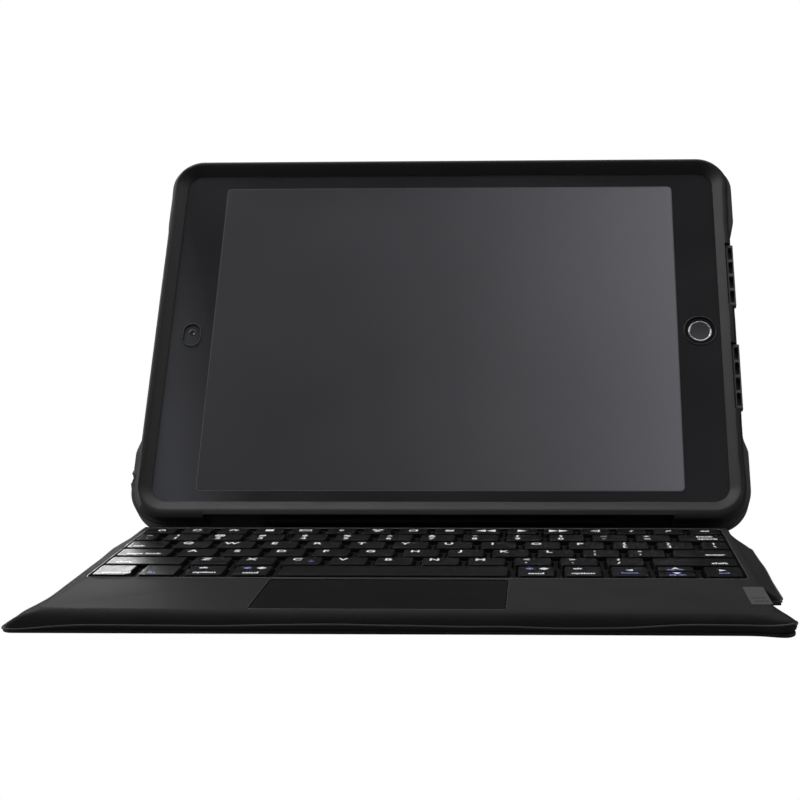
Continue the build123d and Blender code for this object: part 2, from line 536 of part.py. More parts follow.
def slider_cut():
    """The slot that the power slider's stem moves in."""
    mid = socket_height()
    half = SLIDER_LENGTH / 2 + BUTTON_GAP
    return box(BODY_RIGHT - TRAY_WALL - 1, BODY_RIGHT + 1, SLIDER_Y - half - SLIDER_TRAVEL, SLIDER_Y + half,
               mid - SLIDER_HEIGHT / 2 - BUTTON_GAP, mid + SLIDER_HEIGHT / 2 + BUTTON_GAP)


def lower_tray():
    """The plastic tray under the keys, with ribs, wall openings and screw holes."""
    tray = body_block(SKIN_THICK, DECK_UNDER_Z)
    wall = TRAY_WALL
    tray -= slab(BODY_LEFT + wall, BODY_RIGHT - wall, BODY_FRONT_Y + wall, BODY_BACK_Y - wall,
                 BODY_CORNER - wall, TRAY_TOP_Z, DECK_UNDER_Z)
    ribs = 6
    for i in range(ribs):
        x = KEYBOARD_X + (i - (ribs - 1) / 2) * 2 * (WELL_HALF - 6) / (ribs - 1)
        tray += box(x - 0.6, x + 0.6, WELL_FRONT_Y + 2, WELL_BACK_Y - 2, TRAY_TOP_Z, PLATE_Z)
    tray -= socket_cut() + slider_cut()
    for x, y in TRAY_SCREWS:
        tray -= disc(x, y, SCREW_RADIUS, SKIN_THICK, TRAY_TOP_Z)
    return tray


def well_block(grow, z0, z1):
    """The key well's outline, grown all round by an amount."""
    return slab(KEYBOARD_X - WELL_HALF - grow, KEYBOARD_X + WELL_HALF + grow, WELL_FRONT_Y - grow,
                WELL_BACK_Y + grow, WELL_CORNER + grow, z0, z1)


def trackpad_block(grow, z0, z1):
    """The trackpad's outline, grown all round by an amount."""
    return slab(TRACKPAD_LEFT - grow, TRACKPAD_RIGHT + grow, TRACKPAD_FRONT - grow, TRACKPAD_BACK + grow,
                TRACKPAD_CORNER + grow, z0, z1)


def deck_cover():
    """The stiff deck under the top cover: a sunk web between the keys, a trackpad opening, screw bosses."""
    deck = body_block(DECK_UNDER_Z, DECK_TOP_Z)
    deck -= well_block(0, WEB_TOP_Z, DECK_TOP_Z)
    deck -= well_block(-WEB_GAP, DECK_UNDER_Z, WEB_TOP_Z - WEB_THICK)
    deck -= [slab(x0 - WEB_GAP, x1 + WEB_GAP, y0 - WEB_GAP, y1 + WEB_GAP, KEY_CORNER + WEB_GAP,
                  DECK_UNDER_Z, WEB_TOP_Z) for keys in key_layout().values() for x0, x1, y0, y1 in keys]
    deck -= trackpad_block(TRACKPAD_GAP, DECK_UNDER_Z, DECK_TOP_Z)
    for x, y in TRAY_SCREWS:
        deck += disc(x, y, BOSS_RADIUS, TRAY_TOP_Z, DECK_UNDER_Z)
        deck -= disc(x, y, SCREW_RADIUS, TRAY_TOP_Z, DECK_UNDER_Z - 0.6)
    return deck


def tray_screws():
    """Screws up through the tray into the deck's bosses."""
    head = SCREW_HEAD_THICK - 0.2
    return group([
        disc(x, y, SCREW_RADIUS, SKIN_THICK, DECK_UNDER_Z - 0.8)
        + disc(x, y, SCREW_HEAD_RADIUS, SKIN_THICK - head, SKIN_THICK)
        for x, y in TRAY_SCREWS
    ])


def support_plate():
    """The steel plate that the keys stand on."""
    return well_block(-0.4, PLATE_Z, PLATE_TOP_Z)


def membrane():
    """The printed contact sheet on the plate."""
    return well_block(-0.6, PLATE_TOP_Z, MEMBRANE_TOP_Z)


def rubber_domes():
    """One return dome under each key."""
    domes = []
    for keys in key_layout().values():
        for x0, x1, y0, y1 in keys:
            x, y = (x0 + x1) / 2, (y0 + y1) / 2
            domes.append(Pos(x, y, MEMBRANE_TOP_Z + DOME_HEIGHT / 2)
                         * Cone(DOME_RADIUS, DOME_RADIUS * 0.6, DOME_HEIGHT))
    return group(domes)


def circuit_board():
    """The controller board under the right palm rest."""
    x1 = BODY_RIGHT - SOCKET_INSET - SOCKET_DEPTH
    return box(x1 - BOARD_LENGTH, x1, PORT_Y - BOARD_WIDTH / 2, PORT_Y + BOARD_WIDTH / 2,
               TRAY_TOP_Z, TRAY_TOP_Z + BOARD_THICK)


def battery():
    """The flat cell under the left palm rest."""
    x0 = SCREW_XS[0] + BOSS_RADIUS + BATTERY_LEFT_GAP
    x1 = SCREW_XS[1] - BOSS_RADIUS - BATTERY_RIGHT_GAP
    return slab(x0, x1, BATTERY_Y - BATTERY_WIDTH / 2, BATTERY_Y + BATTERY_WIDTH / 2, 2.0,
                TRAY_TOP_Z, DECK_UNDER_Z - 0.6)


def charging_port():
    """The metal charging socket, behind its opening in the tray wall."""
    half_y, half_z = SOCKET_WIDTH / 2 - 0.1, SOCKET_HEIGHT / 2 - 0.1
    mid = socket_height()
    x1 = BODY_RIGHT - SOCKET_INSET
    block = box(x1 - SOCKET_DEPTH, x1, PORT_Y - half_y, PORT_Y + half_y, mid - half_z, mid + half_z)
    mouth = box(x1 - SOCKET_DEPTH + 1, x1, PORT_Y - half_y + 0.3, PORT_Y + half_y - 0.3,
                mid - half_z + 0.3, mid + half_z - 0.3)
    tongue = box(x1 - SOCKET_DEPTH + 1, x1 - 1, PORT_Y - 3.2, PORT_Y + 3.2, mid - 0.35, mid + 0.35)
    return block - mouth + tongue


def power_slider():
    """The power switch's knob, in the notch on the right edge."""
    mid, half = socket_height(), SLIDER_LENGTH / 2
    knob = box(BODY_RIGHT + 0.3, BODY_RIGHT + 1.5, SLIDER_Y - half, SLIDER_Y + half,
               mid - SLIDER_HEIGHT / 2, mid + SLIDER_HEIGHT / 2)
    stem = box(BODY_RIGHT - TRAY_WALL - 0.8, BODY_RIGHT + 0.3, SLIDER_Y - half, SLIDER_Y + half,
               mid - SLIDER_HEIGHT / 2, mid + SLIDER_HEIGHT / 2)
    return knob + stem


def switch_label():
    """The grey label by the switch, folded over the deck's right edge."""
    y0, y1 = LABEL_Y - LABEL_LENGTH / 2, LABEL_Y + LABEL_LENGTH / 2
    top = box(BODY_RIGHT - LABEL_WIDTH, BODY_RIGHT + LABEL_THICK, y0, y1, COVER_TOP_Z, COVER_TOP_Z + LABEL_THICK)
    fold_y0 = max(y0, NOTCH_FRONT_Y + LABEL_THICK)
    return top + box(BODY_RIGHT, BODY_RIGHT + LABEL_THICK, fold_y0, y1, DECK_TOP_Z - LABEL_FOLD, COVER_TOP_Z)


def trackpad_plate():
    """The touch surface, which clicks down as a whole."""
    z1 = COVER_TOP_Z - TRACKPAD_SINK
    return trackpad_block(0, z1 - TRACKPAD_THICK, z1)


def trackpad_switch():
    """The click switch under the trackpad's front."""
    x = (TRACKPAD_LEFT + TRACKPAD_RIGHT) / 2
    top = COVER_TOP_Z - TRACKPAD_SINK - TRACKPAD_THICK - TRACKPAD_TRAVEL - 0.1
    return disc(x, TRACKPAD_FRONT + 12, SWITCH_RADIUS, TRAY_TOP_Z, top)


# ================================================================ keys
def key_layout():
    """Every key as (left, right, front, back), listed by the node that holds it."""
    layout = {}
    front, back = ROWS["function"]
    pitch = (KEYS_RIGHT - KEYS_LEFT + FUNCTION_GAP) / FUNCTION_KEYS
    layout["function_row_keys"] = [
        (KEYS_LEFT + i * pitch, KEYS_LEFT + (i + 1) * pitch - FUNCTION_GAP, front, back)
        for i in range(FUNCTION_KEYS)
    ]
    for row, (left_width, count, left, right) in LETTER_ROWS.items():
        front, back = ROWS[row]
        start = KEYS_LEFT + left_width + KEY_GAP
        end = start + (count - 1) * KEY_PITCH + KEY_WIDTH
        layout[left] = [(KEYS_LEFT, start - KEY_GAP, front, back)]
        layout[row + "_row_keys"] = [
            (start + i * KEY_PITCH, start + i * KEY_PITCH + KEY_WIDTH, front, back) for i in range(count)
        ]
        layout[right] = [(end + KEY_GAP, KEYS_RIGHT, front, back)]
    front, back = ROWS["bottom"]
    step = BOTTOM_WIDTH + BOTTOM_GAP
    for i, name in enumerate(BOTTOM_LEFT):
        layout[name] = [(KEYS_LEFT + i * step, KEYS_LEFT + i * step + BOTTOM_WIDTH, front, back)]
    first_right = KEYS_RIGHT - len(BOTTOM_RIGHT) * step + BOTTOM_GAP
    layout["space_key"] = [(KEYS_LEFT + len(BOTTOM_LEFT) * step, first_right - BOTTOM_GAP, front, back)]
    middle = (front + back) / 2
    for i, name in enumerate(BOTTOM_RIGHT):
        x0 = first_right + i * step
        layout[name] = [(x0, x0 + BOTTOM_WIDTH, front, back)]
    x0 = layout["arrow_up_key"][0][0]
    layout["arrow_up_key"] = [(x0, x0 + BOTTOM_WIDTH, middle + ARROW_GAP / 2, back)]
    layout["arrow_down_key"] = [(x0, x0 + BOTTOM_WIDTH, front, middle - ARROW_GAP / 2)]
    return layout


def key_cap(x0, x1, y0, y1):
    """A hollow cap with drafted sides."""
    base = outline(x0, x1, y0, y1, KEY_CORNER, KEY_TOP_Z - KEY_HEIGHT)
    cap = extrude(base, amount=KEY_HEIGHT, dir=(0, 0, 1), taper=KEY_DRAFT)
    wall = KEY_SKIRT
    hollow = box(x0 + wall, x1 - wall, y0 + wall, y1 - wall, KEY_TOP_Z - KEY_HEIGHT, KEY_TOP_Z - KEY_CAP_THICK)
    return cap - hollow


# ================================================================ spine
def spine_sheet():
    """The fabric flap from the keyboard's back edge, lying under the case."""
    return box(-SPINE_HALF, SPINE_HALF, SPINE_HINGE_Y, SPINE_HINGE_Y + SPINE_LENGTH, SPINE_Z,
               SPINE_Z + SPINE_THICK)


# ================================================================ assembly
def build_nodes():
    """Every node in the object's own frame, before it is centred."""
    hinge = Pos(0, STAND_HINGE_Y, STAND_HINGE_Z)
    opened = hinge * Rot(stand_angle(), 0, 0) * hinge.inverse()
    nodes = {}
    leaned = (tablet_housing, tablet_glass, tablet_display, front_camera, home_button, back_shell, bumper,
              camera_ring, speaker_grilles, dock_bar, dock_magnets, stand_brackets, stand_pins,
              bracket_screws, power_button, volume_button, port_flap, front_frame, screen_film)
    for make in leaned:
        nodes[make.__name__] = SCREEN.location * make()
    nodes["kickstand_plate"] = SCREEN.location * opened * kickstand_plate()
    flat = (bottom_skin, top_skin, lower_tray, deck_cover, tray_screws, support_plate, membrane,
            rubber_domes, circuit_board, battery, charging_port, power_slider, switch_label,
            trackpad_plate, trackpad_switch, spine_sheet)
    for make in flat:
        nodes[make.__name__] = make()
    for name, keys in key_layout().items():
        nodes[name] = group([key_cap(*key) for key in keys])
    return nodes


def main():
    """Centre the object on its footprint and write one file for each node."""
    nodes = build_nodes()
    whole = Compound([solid for shape in nodes.values() for solid in shape.solids()]).bounding_box()
    centre = Pos(-(whole.min.X + whole.max.X) / 2, -(whole.min.Y + whole.max.Y) / 2, 0)
    os.makedirs("parts", exist_ok=True)
    for name, shape in nodes.items():
        export_step(centre * group([shape]), f"parts/{name}.step")
    points = {
        "case_hinge": Vector(0, HINGE_Y, HINGE_Z),
        "spine_hinge": Vector(0, SPINE_HINGE_Y, SPINE_HINGE_Z),
        "kickstand_hinge": SCREEN.from_local_coords(Vector(0, STAND_HINGE_Y, STAND_HINGE_Z)),
        "port_flap_hinge": SCREEN.from_local_coords(Vector(BUMPER_X, 0, PORT_LOW_Z - FLAP_MARGIN)),
        "display_centre": SCREEN.origin,
    }
    shift = centre.position
    for name, point in points.items():
        place = point + shift
        print(f"{name} {place.X:.4f} {place.Y:.4f} {place.Z:.4f}")
    print(f"stand opens {stand_angle():.4f} degrees, shift {shift.X:.4f} {shift.Y:.4f}")


main()
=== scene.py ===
"""Keyboard case for a ten inch tablet: surfaces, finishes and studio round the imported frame."""
import json
import math

import bmesh
import bpy
import numpy as np
from bpy.props import FloatProperty, FloatVectorProperty, PointerProperty
from mathutils import Matrix, Vector


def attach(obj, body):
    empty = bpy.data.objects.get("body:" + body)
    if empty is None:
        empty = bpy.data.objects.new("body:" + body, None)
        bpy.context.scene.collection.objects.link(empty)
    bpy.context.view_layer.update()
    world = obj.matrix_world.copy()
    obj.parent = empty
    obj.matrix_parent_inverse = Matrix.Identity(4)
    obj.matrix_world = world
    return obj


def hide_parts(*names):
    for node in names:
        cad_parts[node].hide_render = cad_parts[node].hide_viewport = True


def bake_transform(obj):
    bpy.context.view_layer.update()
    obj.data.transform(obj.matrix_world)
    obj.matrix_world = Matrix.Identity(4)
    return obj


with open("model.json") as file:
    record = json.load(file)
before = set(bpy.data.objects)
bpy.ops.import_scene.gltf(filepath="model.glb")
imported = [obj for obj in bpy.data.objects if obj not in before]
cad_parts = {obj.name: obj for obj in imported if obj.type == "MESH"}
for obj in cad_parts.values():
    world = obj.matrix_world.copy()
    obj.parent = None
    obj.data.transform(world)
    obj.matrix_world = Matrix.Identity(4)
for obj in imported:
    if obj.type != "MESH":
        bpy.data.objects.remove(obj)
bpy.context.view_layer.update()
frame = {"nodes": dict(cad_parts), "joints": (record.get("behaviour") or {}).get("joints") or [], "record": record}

bl_info = {
    "name": "Tablet keyboard case",
    "version": (1, 0, 0),
    "blender": (4, 5, 0),
    "location": "3D View > Sidebar > Keyboard case",
    "description": "Builds the soft and moulded pieces, finishes and studio of a tablet keyboard case",
    "category": "Object",
}

MM = 0.001
JOINTS = {joint["name"]: joint for joint in frame["joints"]}


# ================================================================ frames and measures
def node_points(name):
    """The node's vertices as an array of points, in millimetres."""
    mesh = frame["nodes"][name].data
    flat = np.empty(3 * len(mesh.vertices))
    mesh.vertices.foreach_get("co", flat)
    return flat.reshape(-1, 3) / MM


def node_box(name):
    """The node's lowest and highest corners, in millimetres."""
    points = node_points(name)
    return points.min(axis=0), points.max(axis=0)


NORMAL = np.array(JOINTS["bezel_lift"]["axis"], float)
NORMAL /= np.linalg.norm(NORMAL)
ACROSS = np.array([1.0, 0.0, 0.0])
UPWARD = np.cross(NORMAL, ACROSS)
GLASS_LOW, GLASS_HIGH = node_box("tablet_glass")
GLASS_TOP = float((node_points("tablet_glass") @ NORMAL).max())
SCREEN_MIDDLE = (GLASS_LOW + GLASS_HIGH) / 2
SCREEN_MIDDLE = SCREEN_MIDDLE + (GLASS_TOP - SCREEN_MIDDLE @ NORMAL) * NORMAL


def screen_box(name):
    """The node's lowest and highest corners in the screen's own frame: across, up, out."""
    points = node_points(name) - SCREEN_MIDDLE
    local = np.stack([points @ ACROSS, points @ UPWARD, points @ NORMAL], axis=1)
    return local.min(axis=0), local.max(axis=0)


def middle_of(low, high):
    """The middle of a box in its first two directions."""
    return (low[0] + high[0]) / 2, (low[1] + high[1]) / 2


def to_screen(points):
    """Points given across, up and out of the screen, set in the object's frame."""
    return SCREEN_MIDDLE + points[..., :1] * ACROSS + points[..., 1:2] * UPWARD + points[..., 2:] * NORMAL


def smooth(value, low, high):
    """Smoothstep: 0 below low, 1 above high, 3t^2 - 2t^3 between."""
    t = np.clip((value - low) / (high - low), 0.0, 1.0)
    return t * t * (3 - 2 * t)


# ================================================================ mesh helpers
def put(name, data):
    """A new object that holds the data, linked to the scene."""
    thing = bpy.data.objects.new(name, data)
    bpy.context.scene.collection.objects.link(thing)
    return thing


def evaluated_mesh(thing):
    """The mesh that an object comes to, with its curve or modifiers worked out."""
    graph = bpy.context.evaluated_depsgraph_get()
    return bpy.data.meshes.new_from_object(thing.evaluated_get(graph))


def shade_smooth(mesh):
    """Smooth shading on every face."""
    mesh.polygons.foreach_set("use_smooth", [True] * len(mesh.polygons))


def link(name, mesh, material, body, nodes=()):
    """Put a mesh in the scene as a finished piece that rides on a body."""
    piece = put(name, mesh)
    mesh.materials.clear()
    mesh.materials.append(material)
    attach(piece, body)
    if nodes:
        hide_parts(*nodes)
    return piece


def quads_mesh(name, grid, wrap_u=False, wrap_v=False, caps=False, flip=False, smooth_faces=True):
    """A grid of points (rows u, columns v) as quads, wrapped on itself where asked."""
    rows, columns = grid.shape[:2]
    index = np.arange(rows * columns).reshape(rows, columns)
    u_next = np.roll(index, -1, axis=0) if wrap_u else index[1:]
    u_here = index if wrap_u else index[:-1]
    if wrap_v:
        a, b = u_here, np.roll(u_here, -1, axis=1)
        c, d = np.roll(u_next, -1, axis=1), u_next
    else:
        a, b, c, d = u_here[:, :-1], u_here[:, 1:], u_next[:, 1:], u_next[:, :-1]
    faces = np.stack([a, b, c, d], axis=-1).reshape(-1, 4)
    if flip:
        faces = faces[:, ::-1]
    faces = faces.tolist()
    if caps:
        first, last = index[0].tolist(), index[-1].tolist()
        faces += [first[::-1], last] if not flip else [first, last[::-1]]
    mesh = bpy.data.meshes.new(name)
    mesh.from_pydata((grid.reshape(-1, 3) * MM).tolist(), [], faces)
    mesh.validate()
    if smooth_faces:
        shade_smooth(mesh)
    mesh.update()
    return mesh


def merged(name, meshes):
    """Several meshes as one, with doubled points merged and faces turned outwards."""
    work = bmesh.new()
    for mesh in meshes:
        work.from_mesh(mesh)
        bpy.data.meshes.remove(mesh)
    bmesh.ops.remove_doubles(work, verts=work.verts, dist=2e-6)
    bmesh.ops.recalc_face_normals(work, faces=work.faces)
    result = bpy.data.meshes.new(name)
    work.to_mesh(result)
    work.free()
    return result


def sharp_by_angle(piece, degrees):
    """Mark edges sharper than an angle, so smooth shading keeps them crisp."""
    mesh = piece.data
    work = bmesh.new()
    work.from_mesh(mesh)
    limit = math.radians(degrees)
    for edge in work.edges:
        edge.smooth = len(edge.link_faces) != 2 or edge.calc_face_angle() < limit
    work.to_mesh(mesh)
    work.free()


def rounded_loop(x0, x1, y0, y1, corner, steps=6):
    """A rectangle with round corners as (points, outward normals), counter-clockwise from the right.

    Each corner is an arc: centre + corner * (cos a, sin a), with a running over its quarter turn.
    """
    quarter = np.linspace(0, math.pi / 2, steps + 1)
    angles = np.concatenate([quarter + k * math.pi / 2 for k in range(4)])
    normals = np.stack([np.cos(angles), np.sin(angles)], axis=1)
    right = np.repeat([1, 0, 0, 1], steps + 1)
    top = np.repeat([1, 1, 0, 0], steps + 1)
    centres = np.stack([np.where(right, x1 - corner, x0 + corner),
                        np.where(top, y1 - corner, y0 + corner)], axis=1)
    return centres + corner * normals, normals


def loop_round(low, high, grow, corner, steps=6):
    """The outline of a box grown by a distance on every side."""
    return rounded_loop(low[0] - grow, high[0] + grow, low[1] - grow, high[1] + grow, corner, steps)[0]


STOP_GAP = 0.04


def walk(x0, x1, y0, y1, corner, spacing, stops=(), fine=(), arc_steps=14):
    """Stations round a rounded rectangle, counter-clockwise from the lower right corner's end.

    Each side is divided evenly by spacing; stops are (side, place) pairs that get a close pair of
    stations, and fine are (side, spacing) pairs. Sides are right, top, left and bottom. A corner is
    an arc of evenly spaced angles. Returns points, outward normals and the side of each station.
    """
    tall, wide = y1 - y0 - 2 * corner, x1 - x0 - 2 * corner
    sides = {
        "right": ((x1, y0 + corner), (0.0, 1.0), (1.0, 0.0), tall),
        "top": ((x1 - corner, y1), (-1.0, 0.0), (0.0, 1.0), wide),
        "left": ((x0, y1 - corner), (0.0, -1.0), (-1.0, 0.0), tall),
        "bottom": ((x0 + corner, y0), (1.0, 0.0), (0.0, -1.0), wide),
    }
    fine = dict(fine)
    points, normals, labels = [], [], []
    for turn, (side, (*vectors, length)) in enumerate(sides.items()):
        start, along, out = (np.array(vector) for vector in vectors)
        count = max(2, int(length / fine.get(side, spacing)))
        places = np.linspace(0, length, count, endpoint=False)
        axis = 1 if side in ("right", "left") else 0
        for stop_side, place in stops:
            if stop_side == side:
                at = (place - start[axis]) * along[axis]
                places = np.append(places, [at - STOP_GAP, at + STOP_GAP])
        places = np.unique(places[(places >= 0) & (places < length)])
        points.append(start + places[:, None] * along)
        normals.append(np.repeat(out[None], len(places), axis=0))
        labels += [side] * len(places)
        a = np.linspace(turn * math.pi / 2, (turn + 1) * math.pi / 2, arc_steps, endpoint=False)
        arc = np.stack([np.cos(a), np.sin(a)], axis=1)
        points.append(start + length * along - corner * out + corner * arc)
        normals.append(arc)
        labels += ["corner"] * arc_steps
    return np.concatenate(points), np.concatenate(normals), np.array(labels)


def stack(name, sections, place=None, smooth_faces=True, steps=6):
    """A closed body of rounded rectangles stacked as (x0, x1, y0, y1, corner, z) sections."""
    rings = []
    for *sides, corner, z in sections:
        loop, _ = rounded_loop(*sides, corner, steps)
        rings.append(np.concatenate([loop, np.full((len(loop), 1), z)], axis=1))
    grid = np.stack(rings)
    if place is not None:
        grid = place(grid)
    return quads_mesh(name, grid, wrap_v=True, caps=True, smooth_faces=smooth_faces)


def lathe(name, profile, centre, place, segments=64):
    """A closed turned body: each (radius, height) of the profile carried round the axis."""
    turn = np.linspace(0, 2 * math.pi, segments, endpoint=False)
    radius, height = np.array(profile).T
    grid = np.stack([
        centre[0] + radius[:, None] * np.cos(turn),
        centre[1] + radius[:, None] * np.sin(turn),
        np.repeat(height[:, None], segments, axis=1),
    ], axis=-1)
    return quads_mesh(name, place(grid), wrap_v=True, caps=True)


def cut_sheet(name, loops, z, thick, edge):
    """A flat sheet with holes: the first loop is its outline, the rest are openings; edges are rounded."""
    curve = bpy.data.curves.new(name, "CURVE")
    curve.dimensions, curve.fill_mode = "2D", "BOTH"
    curve.extrude, curve.bevel_depth, curve.bevel_resolution = (thick / 2 - edge) * MM, edge * MM, 2
    curve.offset = -edge * MM
    for loop in loops:
        spline = curve.splines.new("POLY")
        spline.points.add(len(loop) - 1)
        flat = np.zeros((len(loop), 4))
        flat[:, :2], flat[:, 3] = np.asarray(loop) * MM, 1
        spline.points.foreach_set("co", flat.ravel())
        spline.use_cyclic_u = True
    holder = put(name, curve)
    mesh = evaluated_mesh(holder)
    bpy.data.objects.remove(holder)
    mesh.transform(Matrix.Translation((0, 0, z * MM)))
    return mesh


# ================================================================ settings
class CaseSizes(bpy.types.PropertyGroup):
    """Sizes of the moulded case, in millimetres."""
    crest_run: FloatProperty(name="Crest run", description="Width of the slope inside the bezel's crest",
                             default=4.8, min=2, max=6)
    rib_pitch: FloatProperty(name="Rib pitch", description="Spacing of the fine ribs on the case's side",
                             default=1.5, min=0.6, max=4)
    rib_height: FloatProperty(name="Rib height", description="Height of the fine ribs",
                              default=0.22, min=0, max=0.6)
    jack_radius: FloatProperty(name="Jack radius", description="Radius of the headphone opening",
                               default=2.9, min=1, max=4)
    slot_depth: FloatProperty(name="Slot depth", description="Depth of the speaker slots",
                              default=1.7, min=0.3, max=2.4)


class FolioSizes(bpy.types.PropertyGroup):
    """Sizes of the keyboard cover, in millimetres."""
    wave: FloatProperty(name="Edge wave", description="How far the flange's edge waves up and down",
                        default=0.75, min=0, max=2)
    cap_edge: FloatProperty(name="Cap edge", description="Rounding at the top of each keycap",
                            default=0.35, min=0.1, max=0.8)
    cap_dish: FloatProperty(name="Cap dish", description="Depth of the dish in each keycap",
                            default=0.12, min=0, max=0.4)
    letter_size: FloatProperty(name="Letter size", description="Type size of the letters",
                               default=5.2, min=2, max=8)


class Finishes(bpy.types.PropertyGroup):
    """Colours of the finishes, linear."""
    rubber: FloatVectorProperty(name="Rubber", description="Colour of the case's rubber",
                                subtype="COLOR", size=3, default=(0.0125, 0.0125, 0.013))
    deck: FloatVectorProperty(name="Deck", description="Colour of the soft-touch cover",
                              subtype="COLOR", size=3, default=(0.0240, 0.0236, 0.0242))
    keycap: FloatVectorProperty(name="Keycap", description="Colour of the keycaps",
                                subtype="COLOR", size=3, default=(0.0035, 0.0035, 0.004))
    legend: FloatVectorProperty(name="Legend", description="Colour of the letters",
                                subtype="COLOR", size=3, default=(0.90, 0.91, 0.94))
    legend_second: FloatVectorProperty(name="Second legend", description="Colour of the function words",
                                       subtype="COLOR", size=3, default=(0.22, 0.25, 0.60))


class Studio(bpy.types.PropertyGroup):
    """Strength of the lights."""
    key_light: FloatProperty(name="Key light", description="Power of the large light on the left, in watts",
                             default=6.0, min=0)
    top_light: FloatProperty(name="Top light", description="Power of the light above and behind, in watts",
                             default=5.0, min=0)
    fill_light: FloatProperty(name="Fill light", description="Power of the light on the right, in watts",
                              default=1.7, min=0)
    side_light: FloatProperty(name="Side light", description="Power of the low light on the left, in watts",
                              default=1.3, min=0)
    rim_light: FloatProperty(name="Rim light", description="Power of the small low light behind on the left, in watts",
                             default=0.75, min=0)


# ================================================================ shader building
def make_group(name, inputs):
    """A shader node group with number inputs, and a normal and a mask going out."""
    group = bpy.data.node_groups.new(name, "ShaderNodeTree")
    for label, default in inputs.items():
        made_socket = group.interface.new_socket(name=label, in_out="INPUT", socket_type="NodeSocketFloat")
        made_socket.default_value = default
    group.interface.new_socket(name="Normal", in_out="OUTPUT", socket_type="NodeSocketVector")
    group.interface.new_socket(name="Mask", in_out="OUTPUT", socket_type="NodeSocketFloat")
    return group, group.nodes.new("NodeGroupInput"), group.nodes.new("NodeGroupOutput")


def adjust(node, **settings):
    """Set a node's properties, and input values given by name with underscores for spaces."""
    for key, value in settings.items():
        if hasattr(node, key):
            setattr(node, key, value)
        else:
            node.inputs[key.replace("_", " ")].default_value = value
    return node


def add(tree, kind, **settings):
    """A new node of the tree, with its settings."""
    return adjust(tree.nodes.new(kind), **settings)


def wire(tree, *links):
    """Join sockets, each link given as (from node, its output, to node, its input)."""
    for source, out, target, into in links:
        tree.links.new(source.outputs[out], target.inputs[into])


def grain_group():
    """Moulded grain: fine noise as height and a normal, and broad noise as a mask for mottling."""
    group, enter, leave = make_group("moulded_grain", {"Scale": 1500.0, "Height": 0.2, "Mottle scale": 60.0})
    place = add(group, "ShaderNodeTexCoord")
    fine = add(group, "ShaderNodeTexNoise", Detail=4.0, Roughness=0.6)
    broad = add(group, "ShaderNodeTexNoise", Detail=3.0, Roughness=0.55)
    bump = add(group, "ShaderNodeBump", Distance=0.0004)
    wire(group, (place, "Object", fine, "Vector"), (place, "Object", broad, "Vector"),
         (enter, "Scale", fine, "Scale"), (enter, "Mottle scale", broad, "Scale"),
         (enter, "Height", bump, "Strength"), (fine, "Fac", bump, "Height"),
         (bump, "Normal", leave, "Normal"), (broad, "Fac", leave, "Mask"))


def weave_group():
    """Plain weave: two crossed sine waves as height and mask."""
    group, enter, leave = make_group("plain_weave", {"Scale": 900.0, "Height": 0.4})
    place = add(group, "ShaderNodeTexCoord")
    most = add(group, "ShaderNodeMath", operation="MULTIPLY")
    bump = add(group, "ShaderNodeBump", Distance=0.0002)
    for number_in, direction in enumerate("XY"):
        wave = add(group, "ShaderNodeTexWave", bands_direction=direction, Distortion=0.4, Detail=1.0)
        wire(group, (place, "Object", wave, "Vector"), (enter, "Scale", wave, "Scale"),
             (wave, "Fac", most, number_in))
    wire(group, (most, 0, bump, "Height"), (enter, "Height", bump, "Strength"),
         (bump, "Normal", leave, "Normal"), (most, 0, leave, "Mask"))


def finish(name, colour, rough, scale=1500.0, height=0.15, mottle=60.0, tint=1.35, spread=0.1,
           group="moulded_grain", **sockets):
    """A grained finish: colour mottled up to tint times itself, roughness spread, and a fine normal."""
    material = bpy.data.materials.new(name + "_finish")
    material.use_nodes = True
    tree = material.node_tree
    shader = adjust(tree.nodes["Principled BSDF"], **sockets)
    grain = add(tree, "ShaderNodeGroup", node_tree=bpy.data.node_groups[group])
    adjust(grain, Scale=scale, Height=height)
    if group == "moulded_grain":
        adjust(grain, Mottle_scale=mottle)
    lighter = [min(1.0, c * tint) for c in colour]
    mix = add(tree, "ShaderNodeMix", data_type="RGBA", A=(*colour, 1), B=(*lighter, 1))
    level = add(tree, "ShaderNodeMapRange", To_Min=max(0.02, rough - spread), To_Max=min(1.0, rough + spread))
    wire(tree, (grain, "Mask", mix, "Factor"), (grain, "Mask", level, "Value"),
         (mix, "Result", shader, "Base Color"), (level, "Result", shader, "Roughness"),
         (grain, "Normal", shader, "Normal"))
    return material


def made(name):
    """A finish that has been made, by its name."""
    return bpy.data.materials[name + "_finish"]


def painted_reflection_finish(name, low_colour, high_colour, start, end, rough, power=1.0, **sockets):
    """A glossy finish with a painted reflection: its colour runs from one end of a line in the object to the other.

    The share of the second colour is the place along the line, from 0 to 1, raised to the power.
    """
    material = finish(name, low_colour, rough, height=0.003, tint=1.0, spread=0.02, **sockets)
    tree = material.node_tree
    along = Vector(end) - Vector(start)
    place = add(tree, "ShaderNodeTexCoord")
    dot = add(tree, "ShaderNodeVectorMath", operation="DOT_PRODUCT")
    level = add(tree, "ShaderNodeMath", operation="SUBTRACT", use_clamp=True)
    ease = add(tree, "ShaderNodeMath", operation="POWER")
    dot.inputs[1].default_value = along / along.length_squared
    level.inputs[1].default_value = Vector(start).dot(along) / along.length_squared
    ease.inputs[1].default_value = power
    mix = add(tree, "ShaderNodeMix", data_type="RGBA", A=(*low_colour, 1), B=(*high_colour, 1))
    wire(tree, (place, "Object", dot, 0), (dot, "Value", level, 0), (level, 0, ease, 0),
         (ease, 0, mix, "Factor"), (mix, "Result", tree.nodes["Principled BSDF"], "Base Color"))
    return material


def paint(names, material):
    """Give CAD nodes a finish, without touching their shape."""
    for name in names:
        slots = frame["nodes"][name].data.materials
        slots.clear()
        slots.append(material)


